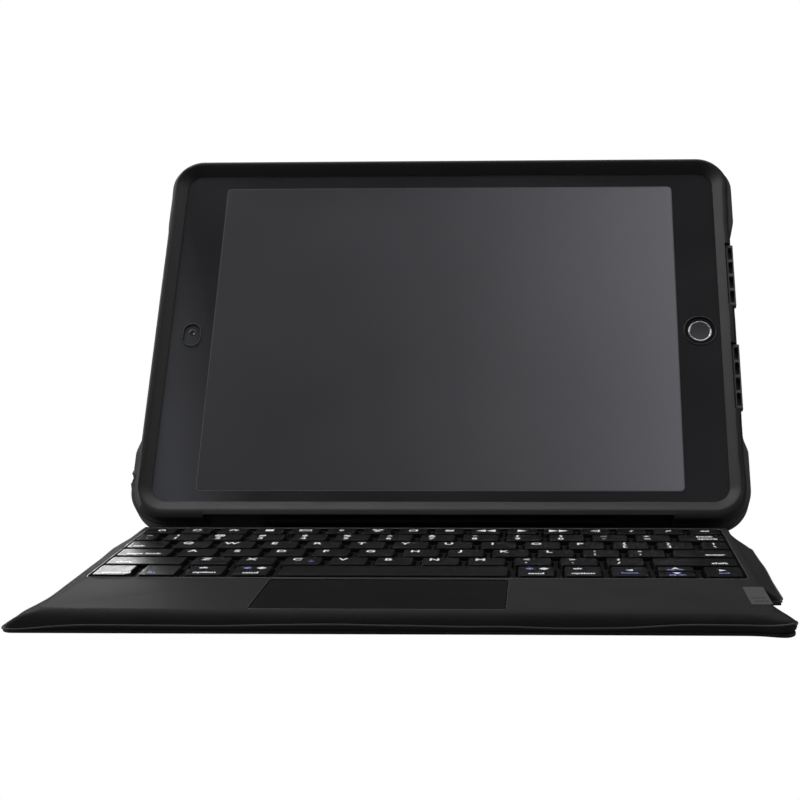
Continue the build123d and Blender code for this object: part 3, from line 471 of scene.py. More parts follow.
class TABLETCASE_OT_finishes(bpy.types.Operator):
    """Make every finish, and give the CAD nodes theirs"""
    bl_idname = "tabletcase.finishes"
    bl_label = "Finishes"

    def execute(self, context):
        colours = context.scene.keyboard_case_finishes
        grain_group()
        weave_group()
        rubber, deck, cap = tuple(colours.rubber), tuple(colours.deck), tuple(colours.keycap)
        # The web colour is the deck's at 0.28: painted shade for the key web sunk between the keys.
        bezel, web = tuple(c * 0.75 for c in rubber), tuple(c * 0.28 for c in deck)
        finish("bezel_rubber", bezel, 0.50, 1800, 0.10, tint=1.3, spread=0.07, Specular_IOR_Level=0.3)
        # A lighter copy of the rubber, put on the bezel's left outer side as painted light.
        finish("rib_rubber", (0.050, 0.050, 0.052), 0.55, 1400, 0.22)
        finish("case_rubber", rubber, 0.55, 1400, 0.22)
        finish("case_shell", (0.016, 0.016, 0.017), 0.50, 900, 0.25)
        # Near-black for the deep parts of the speaker slots: painted shade.
        finish("grille_black", (0.004, 0.004, 0.004), 0.6, 2200, 0.1)
        finish("grille_plastic", (0.085, 0.085, 0.087), 0.35, 2200, 0.08)
        finish("steel", (0.55, 0.55, 0.56), 0.28, 2600, 0.05, tint=1.1, Metallic=1.0)
        finish("kickstand_plate", (0.025, 0.025, 0.026), 0.48, 1600, 0.2)
        finish("tablet_metal", (0.30, 0.30, 0.31), 0.36, 3000, 0.08, tint=1.1, Metallic=1.0)
        # Painted highlight on the glass: its colour lightens from near-black at the upper right of the left border to a
        # pale blue-grey at the lower left.
        glass_highlight_slant = -0.030 * ACROSS - 0.0085 * UPWARD
        start = SCREEN_MIDDLE + GLASS_LOW[0] * 0.93 * ACROSS + 52 * UPWARD
        end = start + glass_highlight_slant / (glass_highlight_slant @ glass_highlight_slant)
        painted_reflection_finish("tablet_glass", (0.0075, 0.0075, 0.0085), (0.115, 0.118, 0.134), start * MM, end * MM,
                        0.10, Coat_Weight=0.4)
        finish("black_trim", (0.004, 0.004, 0.004), 0.35, 2000, 0.05)
        finish("home_ring", (0.55, 0.55, 0.57), 0.24, 3000, 0.02, tint=1.05, spread=0.04, Metallic=1.0)
        finish("home_face", (0.055, 0.055, 0.058), 0.22, 3000, 0.02, spread=0.05)
        finish("lens_glass", (0.01, 0.015, 0.03), 0.05, 3000, 0.0, spread=0.02, Coat_Weight=1.0)
        # deck_cover takes the darkened web colour: painted shade between the keys.
        finish("deck_cover", web, 0.60, 2400, 0.1, Specular_IOR_Level=0.03)
        finish("folio_cover", deck, 0.68, 1700, 0.16, 70, tint=1.45, spread=0.06, Specular_IOR_Level=0.04)
        # A lighter colour than the cover: painted highlight along the rounded seam at the flange's edge.
        finish("folio_seam", (0.055, 0.055, 0.056), 0.6, 1500, 0.2)
        # A lighter colour than the deck: painted highlight on the rounded rims of the key well and the trackpad
        # opening.
        finish("rim_plastic", (0.050, 0.050, 0.052), 0.30, 2400, 0.05)
        finish("folio_under", (0.010, 0.010, 0.011), 0.6, 1500, 0.25)
        finish("tray_plastic", (0.012, 0.012, 0.012), 0.55)
        finish("membrane", (0.05, 0.06, 0.07), 0.4)
        finish("domes", (0.35, 0.36, 0.36), 0.5)
        finish("board", (0.01, 0.06, 0.03), 0.4, 600)
        finish("battery", (0.25, 0.26, 0.27), 0.35, Metallic=0.6)
        finish("trackpad", (0.0050, 0.0050, 0.0055), 0.46, 3200, 0.06, spread=0.05, Specular_IOR_Level=0.05)
        finish("keycap", cap, 0.38, 3600, 0.07, 140, tint=1.25, spread=0.05, Specular_IOR_Level=0.12)
        finish("label", (0.055, 0.055, 0.057), 0.55, 2500, 0.05)
        finish("label_ink", (0.010, 0.010, 0.010), 0.6, height=0.02)
        # The letters also glow faintly: painted light that brightens them.
        finish("legend_white", tuple(colours.legend), 0.5, height=0.02, tint=1.05,
               Emission_Color=(1, 1, 1, 1), Emission_Strength=0.04)
        finish("legend_violet", tuple(colours.legend_second), 0.5, height=0.02, tint=1.1)
        finish("spine_fabric", (0.014, 0.014, 0.015), 0.75, 700, 0.4, group="plain_weave")
        finish("film", (0.022, 0.022, 0.0235), 0.16, 14, 0.12, 14, tint=6.0, spread=0.05, Alpha=0.16)
        for finish_name, names in {
            "tablet_metal": "tablet_housing", "tablet_glass": "tablet_glass",
            "black_trim": "tablet_display front_camera", "case_shell": "back_shell",
            "case_rubber": "camera_ring power_button volume_button port_flap dock_bar",
            "steel": "dock_magnets stand_brackets stand_pins bracket_screws tray_screws support_plate charging_port",
            "kickstand_plate": "kickstand_plate", "film": "screen_film", "deck_cover": "deck_cover",
            "tray_plastic": "lower_tray power_slider trackpad_switch", "membrane": "membrane",
            "domes": "rubber_domes", "board": "circuit_board", "battery": "battery", "label": "switch_label",
        }.items():
            paint(names.split(), made(finish_name))
        return {"FINISHED"}


# ================================================================ case pieces
FILM_LOW, FILM_HIGH = screen_box("screen_film")
RING_LOW, RING_HIGH = screen_box("front_frame")
SHELL_LOW, SHELL_HIGH = screen_box("back_shell")
RUBBER_LOW, RUBBER_HIGH = screen_box("bumper")
GRILLE_LOW, GRILLE_HIGH = screen_box("speaker_grilles")
FLAP_LOW, FLAP_HIGH = screen_box("port_flap")
LIP_CORNER, SHELL_CORNER = 7.0, 11.9
BULGE, BULGE_LENGTH = 2.0, 38.0
DOCK_NOTCH_HALF, RING_NOTCH_REACH, RUBBER_NOTCH_REACH = 99.0, 1.8, 0.6
GRILLE_LENGTH, GRILLE_CLEARANCE = 32.0, 0.4
GRILLE_CENTRES = (float(GRILLE_HIGH[1]) - GRILLE_LENGTH / 2, float(GRILLE_LOW[1]) + GRILLE_LENGTH / 2)
JACK_UP, BODY_MIDDLE_OUT = -72.0, -3.75
FLAP_GAP = 0.15


def ribs(up, out_normal, pitch, height):
    """Fine ribs on the left and right edges: height times a rounded sine of the place up the case."""
    side = smooth(np.abs(out_normal[:, 0]), 0.75, 0.95)
    along = smooth(up, -80, -74) * (1 - smooth(up, 52, 62))
    wobble = 0.25 * np.sin(up * 0.31) + 0.2 * np.sin(up * 0.83 + 1.2)
    wave = np.abs(np.sin(math.pi * up / pitch + wobble)) - 0.5
    return side * along * height * wave * np.where(out_normal[:, 0] < 0, 1.0, 0.5)


def reach_round(normals, side, top, bottom):
    """How far an outer side stands off its path: nx^2 * side + ny^2 * end."""
    return normals[:, 0] ** 2 * side + normals[:, 1] ** 2 * np.where(normals[:, 1] > 0, top, bottom)


def profile_arrays(profile, count):
    """A profile of (offset, height) pairs as two arrays, with a row for each of count path points."""
    return [np.stack([np.broadcast_to(value, count) for value in column], axis=1) for column in zip(*profile)]


def carry(points, normals, offsets, heights):
    """A profile carried along a path: each path point moved out by the offsets, at the heights."""
    flat = points[:, None, :] + offsets[:, :, None] * normals[:, None, :]
    return np.concatenate([flat, heights[:, :, None]], axis=2)


def closed_tube(name, loop, out, across, height, place=None):
    """One closed profile carried all round a loop of points."""
    grid = carry(loop, out, np.tile(across, (len(loop), 1)), np.tile(height, (len(loop), 1)))
    return quads_mesh(name, place(grid) if place else grid, wrap_u=True, wrap_v=True)


class TABLETCASE_OT_bezel(bpy.types.Operator):
    """The press-fit bezel: a lip, a slope up to a crest, and an outer side with fine ribs, lighter on the left as
    painted light
    """
    bl_idname = "tabletcase.bezel"
    bl_label = "Bezel"

    def execute(self, context):
        """A closed profile (offset from the lip, height out of the screen) carried round the lip.

        The reach is nx^2 * side + ny^2 * end, less at the dock notch and the speaker openings.
        """
        sizes = context.scene.keyboard_case_sizes
        run = sizes.crest_run
        half_gap = GRILLE_LENGTH / 2 + GRILLE_CLEARANCE
        stops = [("right", centre + sign * half_gap) for centre in GRILLE_CENTRES for sign in (-1, 1)]
        stops += [("bottom", -DOCK_NOTCH_HALF), ("bottom", DOCK_NOTCH_HALF)]
        points, normals, sides = walk(FILM_LOW[0], FILM_HIGH[0], FILM_LOW[1], FILM_HIGH[1], LIP_CORNER, 2.0,
                                      stops, (("left", 0.3), ("right", 0.5)))
        across = normals[:, 0] ** 2
        reach = reach_round(normals, RING_HIGH[0] - FILM_HIGH[0], RING_HIGH[1] - FILM_HIGH[1],
                            FILM_LOW[1] - RING_LOW[1])
        swell = 0.5 * smooth(np.abs(points[:, 1]), 60, 80) * across
        ripple = 0.11 * np.sin(points[:, 1] * 0.42) * across * (points[:, 0] > 0)
        reach = reach + swell + ripple + ribs(points[:, 1], normals, sizes.rib_pitch, sizes.rib_height)
        free = 99.0
        limit = np.full(len(points), free)
        for centre in GRILLE_CENTRES:
            near = (sides == "right") & (np.abs(points[:, 1] - centre) < half_gap)
            limit[near] = SHELL_HIGH[0] - 0.25 - FILM_HIGH[0]
        notch = (sides == "bottom") & (np.abs(points[:, 0]) < DOCK_NOTCH_HALF)
        limit[notch] = -SHELL_LOW[1] + RING_NOTCH_REACH + FILM_LOW[1]
        crest, foot = RING_HIGH[2], RING_LOW[2]
        lip, lip_foot, body_gap = 0.85, 0.35, 2.6
        slope = np.minimum(limit, run) / run * (crest - lip) + lip
        offsets, heights = profile_arrays([
            (0, lip_foot), (0, lip - 0.18), (0.1, lip - 0.04), (0.35, lip + 0.12),
            (0.3 * run, lip + 0.32 * (crest - lip)), (0.62 * run, lip + 0.66 * (crest - lip)),
            (0.88 * run, crest - 0.32), (run, crest - 0.1), (run + 0.45, crest),
            (reach - 1.35 - 1.3 * across, crest - 0.05),
            (reach - 0.75 - 1.0 * across, crest - 0.45 + 0.05 * across),
            (reach - 0.3 - 0.6 * across, crest - 1.1), (reach - 0.05 - 0.2 * across, crest - 2.0),
            (reach, 0.9), (reach, 0.0), (reach - 0.25, foot), (body_gap, foot), (body_gap, lip_foot),
        ], len(points))
        low_slope = (limit[:, None] < free) & (offsets > limit[:, None])
        heights = np.where(low_slope, np.minimum(heights, slope[:, None]), heights)
        offsets = np.minimum(offsets, limit[:, None])
        grid = to_screen(carry(points, normals, offsets, heights))
        mesh = quads_mesh("bezel", grid, wrap_u=True, wrap_v=True)
        piece = link("bezel", mesh, made("bezel_rubber"), "bezel", ("front_frame",))
        # The left-facing outer side takes a lighter rubber: painted light falling from the left.
        mesh.materials.append(made("rib_rubber"))
        painted_lit_side = np.zeros(offsets.shape, dtype=int)
        outer_side = slice(9, 15)
        painted_lit_side[normals[:, 0] < -0.75, outer_side] = 1
        mesh.polygons.foreach_set("material_index", painted_lit_side.ravel())
        sharp_by_angle(piece, 50)
        return {"FINISHED"}


class TABLETCASE_OT_bumper(bpy.types.Operator):
    """The rubber edge round the shell, with bulged corners, fine ribs and openings"""
    bl_idname = "tabletcase.bumper"
    bl_label = "Bumper"

    def execute(self, context):
        """A closed profile carried round the shell; the outer side is pushed in where something passes.

        The reach is nx^2 * side + ny^2 * end plus a smoothstep bulge at both ends of each side, and a
        round opening presses it in by a smoothstep of the distance from its centre.
        """
        sizes = context.scene.keyboard_case_sizes
        flap_low, flap_high = FLAP_LOW[1] - FLAP_GAP, FLAP_HIGH[1] + FLAP_GAP
        stops = [("bottom", -DOCK_NOTCH_HALF), ("bottom", DOCK_NOTCH_HALF), ("right", flap_low), ("right", flap_high)]
        points, normals, sides = walk(SHELL_LOW[0], SHELL_HIGH[0], SHELL_LOW[1], SHELL_HIGH[1], SHELL_CORNER, 1.5,
                                      stops, (("left", 0.3), ("right", 0.6)))
        side_reach = RUBBER_HIGH[0] - BULGE - SHELL_HIGH[0]
        reach = reach_round(normals, side_reach, RUBBER_HIGH[1] - SHELL_HIGH[1], SHELL_LOW[1] - RUBBER_LOW[1])
        high, low = RUBBER_HIGH[1] - BULGE_LENGTH, RUBBER_LOW[1] + BULGE_LENGTH
        upper_share = np.where(points[:, 0] < 0, 0.3, 1.0)
        bulge = np.maximum(smooth(points[:, 1], high - 4, high + 5) * upper_share,
                           1 - smooth(points[:, 1], low - 5, low + 4))
        reach = reach + BULGE * bulge * normals[:, 0] ** 2
        reach = reach + ribs(points[:, 1], normals, sizes.rib_pitch, sizes.rib_height) * (1 - 0.6 * bulge)
        top, back, floor = RUBBER_HIGH[2], RUBBER_LOW[2], SHELL_LOW[2]
        outer = [top - drop for drop in (0.45, 1.1, 1.8, 2.6, 3.4, 4.2, 5.0, 6.0, 7.2)] + [-8.95, -9.1, back + 2.6]
        offsets, heights = profile_arrays([
            (0, top), (reach - 0.5, top), *((reach, height) for height in outer),
            (reach - 0.7, back + 1.0), (reach - 2.2, back), (-3.8, back), (-4.3, back + 0.5), (-4.3, floor),
            (0, floor),
        ], len(points))
        column = np.arange(offsets.shape[1])
        edge = (column >= 1) & (column <= len(outer) + 1)
        notch = (sides == "bottom") & (np.abs(points[:, 0]) < DOCK_NOTCH_HALF)
        offsets[notch] = np.minimum(offsets[notch], RUBBER_NOTCH_REACH)
        flap = (sides == "right") & (points[:, 1] > flap_low) & (points[:, 1] < flap_high)
        above = heights > -9.0
        offsets = np.where(flap[:, None] & above & edge, np.minimum(offsets, side_reach - 1.3), offsets)
        left = (points[:, 0] < 0) & (np.abs(normals[:, 0]) > 0.9)
        far = np.hypot(points[:, 1:2] - JACK_UP, heights - BODY_MIDDLE_OUT)
        hole = 3.4 * (1 - smooth(far, sizes.jack_radius - 0.7, sizes.jack_radius))
        collar = 0.5 * (smooth(far, 2.9, 3.5) - smooth(far, 3.9, 4.9))
        offsets = np.where(left[:, None] & edge, offsets - (hole - collar), offsets)
        grid = to_screen(carry(points, normals, offsets, heights))
        mesh = quads_mesh("bumper", grid, wrap_u=True, wrap_v=True)
        piece = link("case_bumper", mesh, made("case_rubber"), "case", ("bumper",))
        sharp_by_angle(piece, 50)
        return {"FINISHED"}


class TABLETCASE_OT_speakers(bpy.types.Operator):
    """Two slotted speaker inserts in the right edge"""
    bl_idname = "tabletcase.speakers"
    bl_label = "Speaker inserts"

    def execute(self, context):
        """Height over a grid (across, up): the top less slot depth times a rounded-rectangle mask."""
        slot_depth = context.scene.keyboard_case_sizes.slot_depth
        slot_width, slot_length, pitch, last, corner = 2.0, 6.2, 7.6, 3, 0.7
        x0, x1, top, foot = GRILLE_LOW[0], GRILLE_HIGH[0], GRILLE_HIGH[2], GRILLE_LOW[2]
        middle, half = (x0 + x1) / 2 + 0.1, GRILLE_LENGTH / 2
        meshes = []
        for centre in GRILLE_CENTRES:
            grid_x, grid_y = np.meshgrid(np.linspace(x0, x1, 34), np.linspace(centre - half, centre + half, 260),
                                         indexing="ij")
            rank = np.clip(np.round((grid_y - centre) / pitch + last / 2), 0, last)
            nearest = centre + (rank - last / 2) * pitch
            over_x = np.maximum(np.abs(grid_x - middle) - slot_width / 2 + corner, 0)
            over_y = np.maximum(np.abs(grid_y - nearest) - slot_length / 2 + corner, 0)
            depth = slot_depth * smooth(corner - np.hypot(over_x, over_y), -0.05, 0.14)
            from_edge = np.minimum(np.minimum(grid_x - x0, x1 - grid_x), half - np.abs(grid_y - centre))
            rim = 0.25 * (1 - smooth(from_edge, 0, 0.4))
            surface = np.pad(np.stack([grid_x, grid_y, top - depth - rim], axis=2), ((1, 1), (1, 1), (0, 0)), "edge")
            surface[0, :, 2] = surface[-1, :, 2] = surface[:, 0, 2] = surface[:, -1, 2] = foot
            meshes.append(quads_mesh("grille", to_screen(surface), smooth_faces=False))
            flat = np.array([[[x, y, foot] for y in (centre - half, centre + half)] for x in (x0, x1)])
            meshes.append(quads_mesh("grille_base", to_screen(flat), flip=True, smooth_faces=False))
        mesh = merged("speaker_inserts", meshes)
        piece = link("speaker_inserts", mesh, made("grille_plastic"), "case", ("speaker_grilles",))
        piece.data.materials.append(made("grille_black"))
        centres = np.empty(3 * len(mesh.polygons))
        mesh.polygons.foreach_get("center", centres)
        out = (centres.reshape(-1, 3) / MM - SCREEN_MIDDLE) @ NORMAL
        # Faces low in each slot take the near-black finish: painted shade in the slot's lower walls and floor.
        deep = (out < top - 0.7 * slot_depth) & (out > top - 1.1 * slot_depth)
        mesh.polygons.foreach_set("material_index", deep.astype(int))
        return {"FINISHED"}


class TABLETCASE_OT_screen(bpy.types.Operator):
    """The display area of the screen with a painted reflection, the camera window and the home button"""
    bl_idname = "tabletcase.screen"
    bl_label = "Screen"

    def execute(self, context):
        """Thin plates with round corners on the glass, and a turned button with a ring and a dished face."""
        low, high = screen_box("tablet_display")
        left, right = (SCREEN_MIDDLE + x * ACROSS for x in (low[0], high[0]))
        # Painted reflection on the dark display: grey that stays dark at the left and lightens steeply towards the
        # right.
        painted_reflection = painted_reflection_finish("screen_lit", (0.080, 0.0765, 0.088), (0.39, 0.385, 0.42), left * MM, right * MM,
                              0.16, 2.4)
        edge = finish("screen_edge", (0.16, 0.16, 0.18), 0.3, height=0.02)
        for name, material, grow, corner, thick in (("screen_rim", edge, 0.28, 2.0, 0.02),
                                                    ("screen_face", painted_reflection, 0.0, 1.8, 0.045)):
            sections = [(low[0] - grow, high[0] + grow, low[1] - grow, high[1] + grow, corner, z) for z in (0.0, thick)]
            link(name, stack(name, sections, to_screen, False), material, "tablet")
        cx, cy = middle_of(*screen_box("front_camera"))
        lens = lathe("front_lens", [(0.01, 0.02), (0.5, 0.03), (0.9, 0.02), (1.15, 0.1), (1.35, 0.1), (1.5, 0.0),
                                    (0.01, -0.05)], (cx, cy), to_screen, 32)
        link("front_lens", lens, made("lens_glass"), "tablet")
        home_low, home_high = screen_box("home_button")
        centre = middle_of(home_low, home_high)
        window, _ = rounded_loop(cx - 4.0, cx + 4.0, cy - 7.25, cy + 4.25, 3.9, 10)
        opening_radius = 7.25
        opening = loop_round(centre, centre, opening_radius, opening_radius - 0.01, 14)
        top = FILM_HIGH[2]
        across = np.array([-0.35, -0.33, -0.18, 0.05, 0.1, 0.0])
        height = np.array([0.02, top - 0.06, top + 0.04, top + 0.03, top - 0.1, 0.02])
        edges = []
        for loop in (window, opening):
            away = loop - loop.mean(axis=0)
            edges.append(closed_tube("cut_edge", loop, away / np.hypot(*away.T)[:, None], across, height, to_screen))
        link("film_cut_edges", merged("film_cut_edges", edges), made("black_trim"), "bezel")
        radius = (home_high[0] - home_low[0]) / 2
        ring = lathe("home_ring", [
            (radius - 0.85, -0.9), (radius - 0.85, -0.12), (radius - 0.7, 0.06), (radius - 0.4, 0.14),
            (radius - 0.15, 0.06), (radius, -0.12), (radius, -1.4), (radius - 0.85, -1.4)], centre, to_screen)
        cap = lathe("home_face", [
            (0.01, -0.42), (1.5, -0.38), (3.0, -0.27), (radius - 1.1, -0.14), (radius - 0.86, -0.12),
            (radius - 0.86, -1.2), (0.01, -1.2)], centre, to_screen)
        link("home_ring", ring, made("home_ring"), "home", ("home_button",))
        link("home_face", cap, made("home_face"), "home")
        return {"FINISHED"}


# ================================================================ keyboard pieces
TRAY_LOW, TRAY_HIGH = node_box("lower_tray")
SKIN_LOW, SKIN_HIGH = node_box("top_skin")
UNDER_LOW, UNDER_HIGH = node_box("bottom_skin")
PLATE_LOW, PLATE_HIGH = node_box("support_plate")
PAD_LOW, PAD_HIGH = node_box("trackpad_plate")
LABEL_LOW, LABEL_HIGH = node_box("switch_label")
SKIN_BACK, SKIN_BODY_CORNER, SKIN_CORNER = TRAY_HIGH[1] - 8.2, 4.0, 9.0
NOTCH_LOW, NOTCH_HIGH = TRAY_LOW[1] + 13.0, TRAY_LOW[1] + 41.5
COVER_TOP, COVER_THICK, ROLL = SKIN_HIGH[2], 0.4, 1.6


def flange_paths():
    """Stations down the left side, along the front and up the right side.

    Each has a point on the body's outline and one on the flange's edge; a corner runs through the
    same angle on both. The flange fades in at the back by a quarter circle and stops at the notch.
    """
    inner, outer, normals = [], [], []

    def side(x_in, x_out, ys, out):
        reach = np.abs(x_out - x_in)
        t = np.clip((ys - (SKIN_BACK - SKIN_CORNER)) / SKIN_CORNER, 0, 1)
        grow = reach * np.sqrt(np.maximum(1 - t * t, 0.0))
        if out > 0:
            gone = smooth(ys, NOTCH_LOW - 0.3, NOTCH_LOW + 0.3) * (1 - smooth(ys, NOTCH_HIGH - 0.3, NOTCH_HIGH + 0.3))
            tip = 1.2 * np.exp(-((ys - NOTCH_HIGH - 1.5) / 2.0) ** 2)
            grow = grow * (1 - gone) - tip * (1 - gone)
        inner.append(np.stack([np.full_like(ys, x_in), ys], axis=1))
        outer.append(np.stack([x_in + out * grow, ys], axis=1))
        normals.append(np.tile([float(out), 0.0], (len(ys), 1)))

    def corner(x_in, x_out, start):
        a = np.linspace(start, start + math.pi / 2, 16)[1:-1]
        arc = np.stack([np.cos(a), np.sin(a)], axis=1)
        inset = SKIN_BODY_CORNER if x_in > 0 else -SKIN_BODY_CORNER
        inner.append(np.array([x_in - inset, front]) + SKIN_BODY_CORNER * arc)
        outer.append(np.array([x_out - inset, UNDER_LOW[1] + SKIN_BODY_CORNER]) + SKIN_BODY_CORNER * arc)
        normals.append(arc)

    front = TRAY_LOW[1] + SKIN_BODY_CORNER
    side_count, front_count = 150, 260
    flare, tuck = 3.4, 1.9
    left_edge, right_edge = UNDER_LOW[0] - flare, UNDER_HIGH[0] - tuck
    side(TRAY_LOW[0], UNDER_LOW[0], np.linspace(TRAY_HIGH[1], front, side_count), -1)
    outer[0][:, 0] -= flare * smooth(-outer[0][:, 1], -front - 45, -front)
    corner(TRAY_LOW[0], left_edge, math.pi)
    xs = np.linspace(TRAY_LOW[0] + SKIN_BODY_CORNER, TRAY_HIGH[0] - SKIN_BODY_CORNER, front_count)
    wide = np.linspace(left_edge + SKIN_BODY_CORNER, right_edge - SKIN_BODY_CORNER, front_count)
    inner.append(np.stack([xs, np.full_like(xs, TRAY_LOW[1])], axis=1))
    outer.append(np.stack([wide, np.full_like(xs, UNDER_LOW[1])], axis=1))
    normals.append(np.tile([0.0, -1.0], (len(xs), 1)))
    corner(TRAY_HIGH[0], right_edge, 1.5 * math.pi)
    ys = np.unique(np.concatenate([np.linspace(front, TRAY_HIGH[1], side_count),
                                   NOTCH_LOW + np.linspace(-1, 1, 15), NOTCH_HIGH + np.linspace(-2, 3, 26)]))
    side(TRAY_HIGH[0], UNDER_HIGH[0], ys, 1)
    outer[-1][:, 0] -= tuck * (1 - smooth(ys, front, NOTCH_LOW - 2))
    inner, outer, normals = np.concatenate(inner), np.concatenate(outer), np.concatenate(normals)
    near_right = np.exp(-((outer[:, 0] - UNDER_HIGH[0] + 6) / 6) ** 2)
    outer[:, 1] -= 2.4 * near_right * smooth(-outer[:, 1], -UNDER_LOW[1] - 8, -UNDER_LOW[1])
    return inner, outer, normals


class TABLETCASE_OT_cover(bpy.types.Operator):
    """The soft cover of the keyboard: a flat deck with openings, and a rolled, wavy flange"""
    bl_idname = "tabletcase.cover"
    bl_label = "Keyboard cover"

    def execute(self, context):
        """A cut sheet for the deck, and a closed profile carried round it for the flange.

        Profile points run from the body's outline to the flange's edge; the edge rises and falls by a
        sum of sines of the way round, growing with the distance from the body.
        """
        wave = context.scene.keyboard_case_folio.wave
        inner, outer, normals = flange_paths()
        way = np.concatenate([[0], np.cumsum(np.hypot(*np.diff(inner, axis=0).T))])
        front = smooth(-normals[:, 1], 0.3, 0.9)
        right = (inner[:, 0] > 0).astype(float)
        lift = wave * (0.75 * np.sin(way / 19.0 + 0.6) + 0.35 * np.sin(way / 9.3) + 0.08 * np.sin(way / 4.1 + 2))
        lift = lift * (0.45 + 0.55 * right)
        near_front = smooth(-outer[:, 1], -UNDER_LOW[1] - 25, -UNDER_LOW[1] - 2)
        dip = 1.7 * np.exp(-((outer[:, 0] - UNDER_LOW[0]) / 14) ** 2) * near_front
        from_corner = outer - np.array([UNDER_HIGH[0], UNDER_LOW[1]])
        curl = -dip + 1.7 * np.exp(-((from_corner[:, 0] + 3) / 7) ** 2) * np.exp(-(from_corner[:, 1] / 7) ** 2)
        step = outer - inner
        span = np.maximum(np.hypot(step[:, 0], step[:, 1]), 1e-6)
        gone = 1 - smooth(span, 0.2, 1.6)
        edge, top, web = UNDER_HIGH[2] + 0.05, COVER_TOP, COVER_TOP - COVER_THICK

        def level(rank, side_height, front_height, side_part, front_part, gain=0.0, shift=0.0):
            """A row of the flange: its height and its part of the step at the sides and at the front."""
            height = side_height * (1 - front) + front_height * front
            part = side_part * (1 - front) + front_part * front
            flat = inner + step * part[:, None] + normals * shift
            z = np.maximum(height + (lift + curl) * gain * (1 - gone), edge + 0.03 * (rank - 1))
            return np.concatenate([flat, z[:, None]], axis=1)

        rows = [
            level(15, top, top, 0, 0, 0, -ROLL), level(14, top - 0.05, top - 0.04, 0, 0, 0, -ROLL * 0.6),
            level(13, top - 0.3, top - 0.22, 0, 0, 0, -ROLL * 0.15), level(12, top - 0.85, top - 0.6, 0.05, 0.2, 0.05),
            level(11, top - 1.7, top - 1.15, 0.2, 0.45, 0.15), level(10, top - 2.8, top - 1.95, 0.4, 0.68, 0.3),
            level(9, top - 3.9, top - 2.75, 0.62, 0.85, 0.6), level(8, top - 4.9, top - 3.55, 0.8, 0.95, 0.8),
            level(7, top - 5.6, top - 4.3, 0.92, 1.0, 1.0), level(6, top - 6.1, top - 4.75, 0.985, 1.02, 1.0),
            level(5, top - 6.4, top - 5.2, 1.0, 1.03, 1.0), level(4, top - 6.7, top - 5.75, 0.99, 1.0, 0.7),
            level(3, edge + 0.12, edge + 0.6, 0.95, 0.99, 0.3), level(2, edge + 0.06, edge + 0.06, 0.9, 0.9, 0.1),
            level(1, edge, edge, 0, 0, 0, 0.05), level(1, top - 0.8, top - 0.8, 0, 0, 0, -0.1),
            level(1, web, web, 0, 0, 0, -0.4), level(1, web, web, 0, 0, 0, -ROLL),
        ]
        # The seam tube's lighter finish is a painted highlight on the flange's rounded edge.
        seam = level(5, top - 6.25, top - 4.6, 0.99, 1.03, 1.0)
        seam_radius = 0.3 * (1 - gone) + 0.02
        turn = np.linspace(0, 2 * math.pi, 8, endpoint=False)
        outwards = np.concatenate([normals, np.zeros((len(way), 1))], axis=1)
        ring = seam[:, None, :] + seam_radius[:, None, None] * (
            np.cos(turn)[None, :, None] * outwards[:, None, :]
            + np.sin(turn)[None, :, None] * np.array([0.0, 0.0, 1.0]))
        mesh = quads_mesh("edge_seam", ring, wrap_v=True, caps=True, flip=True)
        link("edge_seam", mesh, made("folio_seam"), "keyboard")
        roll = quads_mesh("flange_roll", np.stack(rows, axis=1), wrap_v=True, caps=True)
        wide = 0.05
        outline, _ = rounded_loop(TRAY_LOW[0] + ROLL - wide, TRAY_HIGH[0] - ROLL + wide,
                                  TRAY_LOW[1] + ROLL - wide, TRAY_HIGH[1], 1.5)
        well = loop_round(PLATE_LOW, PLATE_HIGH, 0.4, 2.5)
        pad = loop_round(PAD_LOW, PAD_HIGH, 0.35, 1.55)
        _, out = rounded_loop(0, 1, 0, 1, 0.1)
        # The rims are rounded edges; their lighter finish is a painted highlight.
        rims = [closed_tube("rim", loop, out, radius * np.cos(turn), top - 0.05 + radius * np.sin(turn))
                for loop, radius in ((well, 0.28), (pad, 0.16))]
        link("deck_rims", merged("deck_rims", rims), made("rim_plastic"), "keyboard")
        deck = cut_sheet("deck_sheet", [outline, well, pad], top - COVER_THICK / 2, COVER_THICK, 0.14)
        mesh = merged("keyboard_cover", [roll, deck])
        piece = link("keyboard_cover", mesh, made("folio_cover"), "keyboard", ("top_skin",))
        shade_smooth(mesh)
        sharp_by_angle(piece, 35)
        self.under()
        return {"FINISHED"}

    def under(self):
        """The sheet under the keyboard: the flange's outline drawn in by a hair, with the notch cut out."""
        inset = 0.25
        inner, outer, _ = flange_paths()
        inwards = inner - outer
        loop = (outer + inwards / np.maximum(np.hypot(*inwards.T), 1e-6)[:, None] * inset)[::2]
        mesh = merged("keyboard_under", [cut_sheet("under_sheet", [loop], UNDER_HIGH[2] / 2, UNDER_HIGH[2], 0.3)])
        link("keyboard_under", mesh, made("folio_under"), "keyboard", ("bottom_skin",))


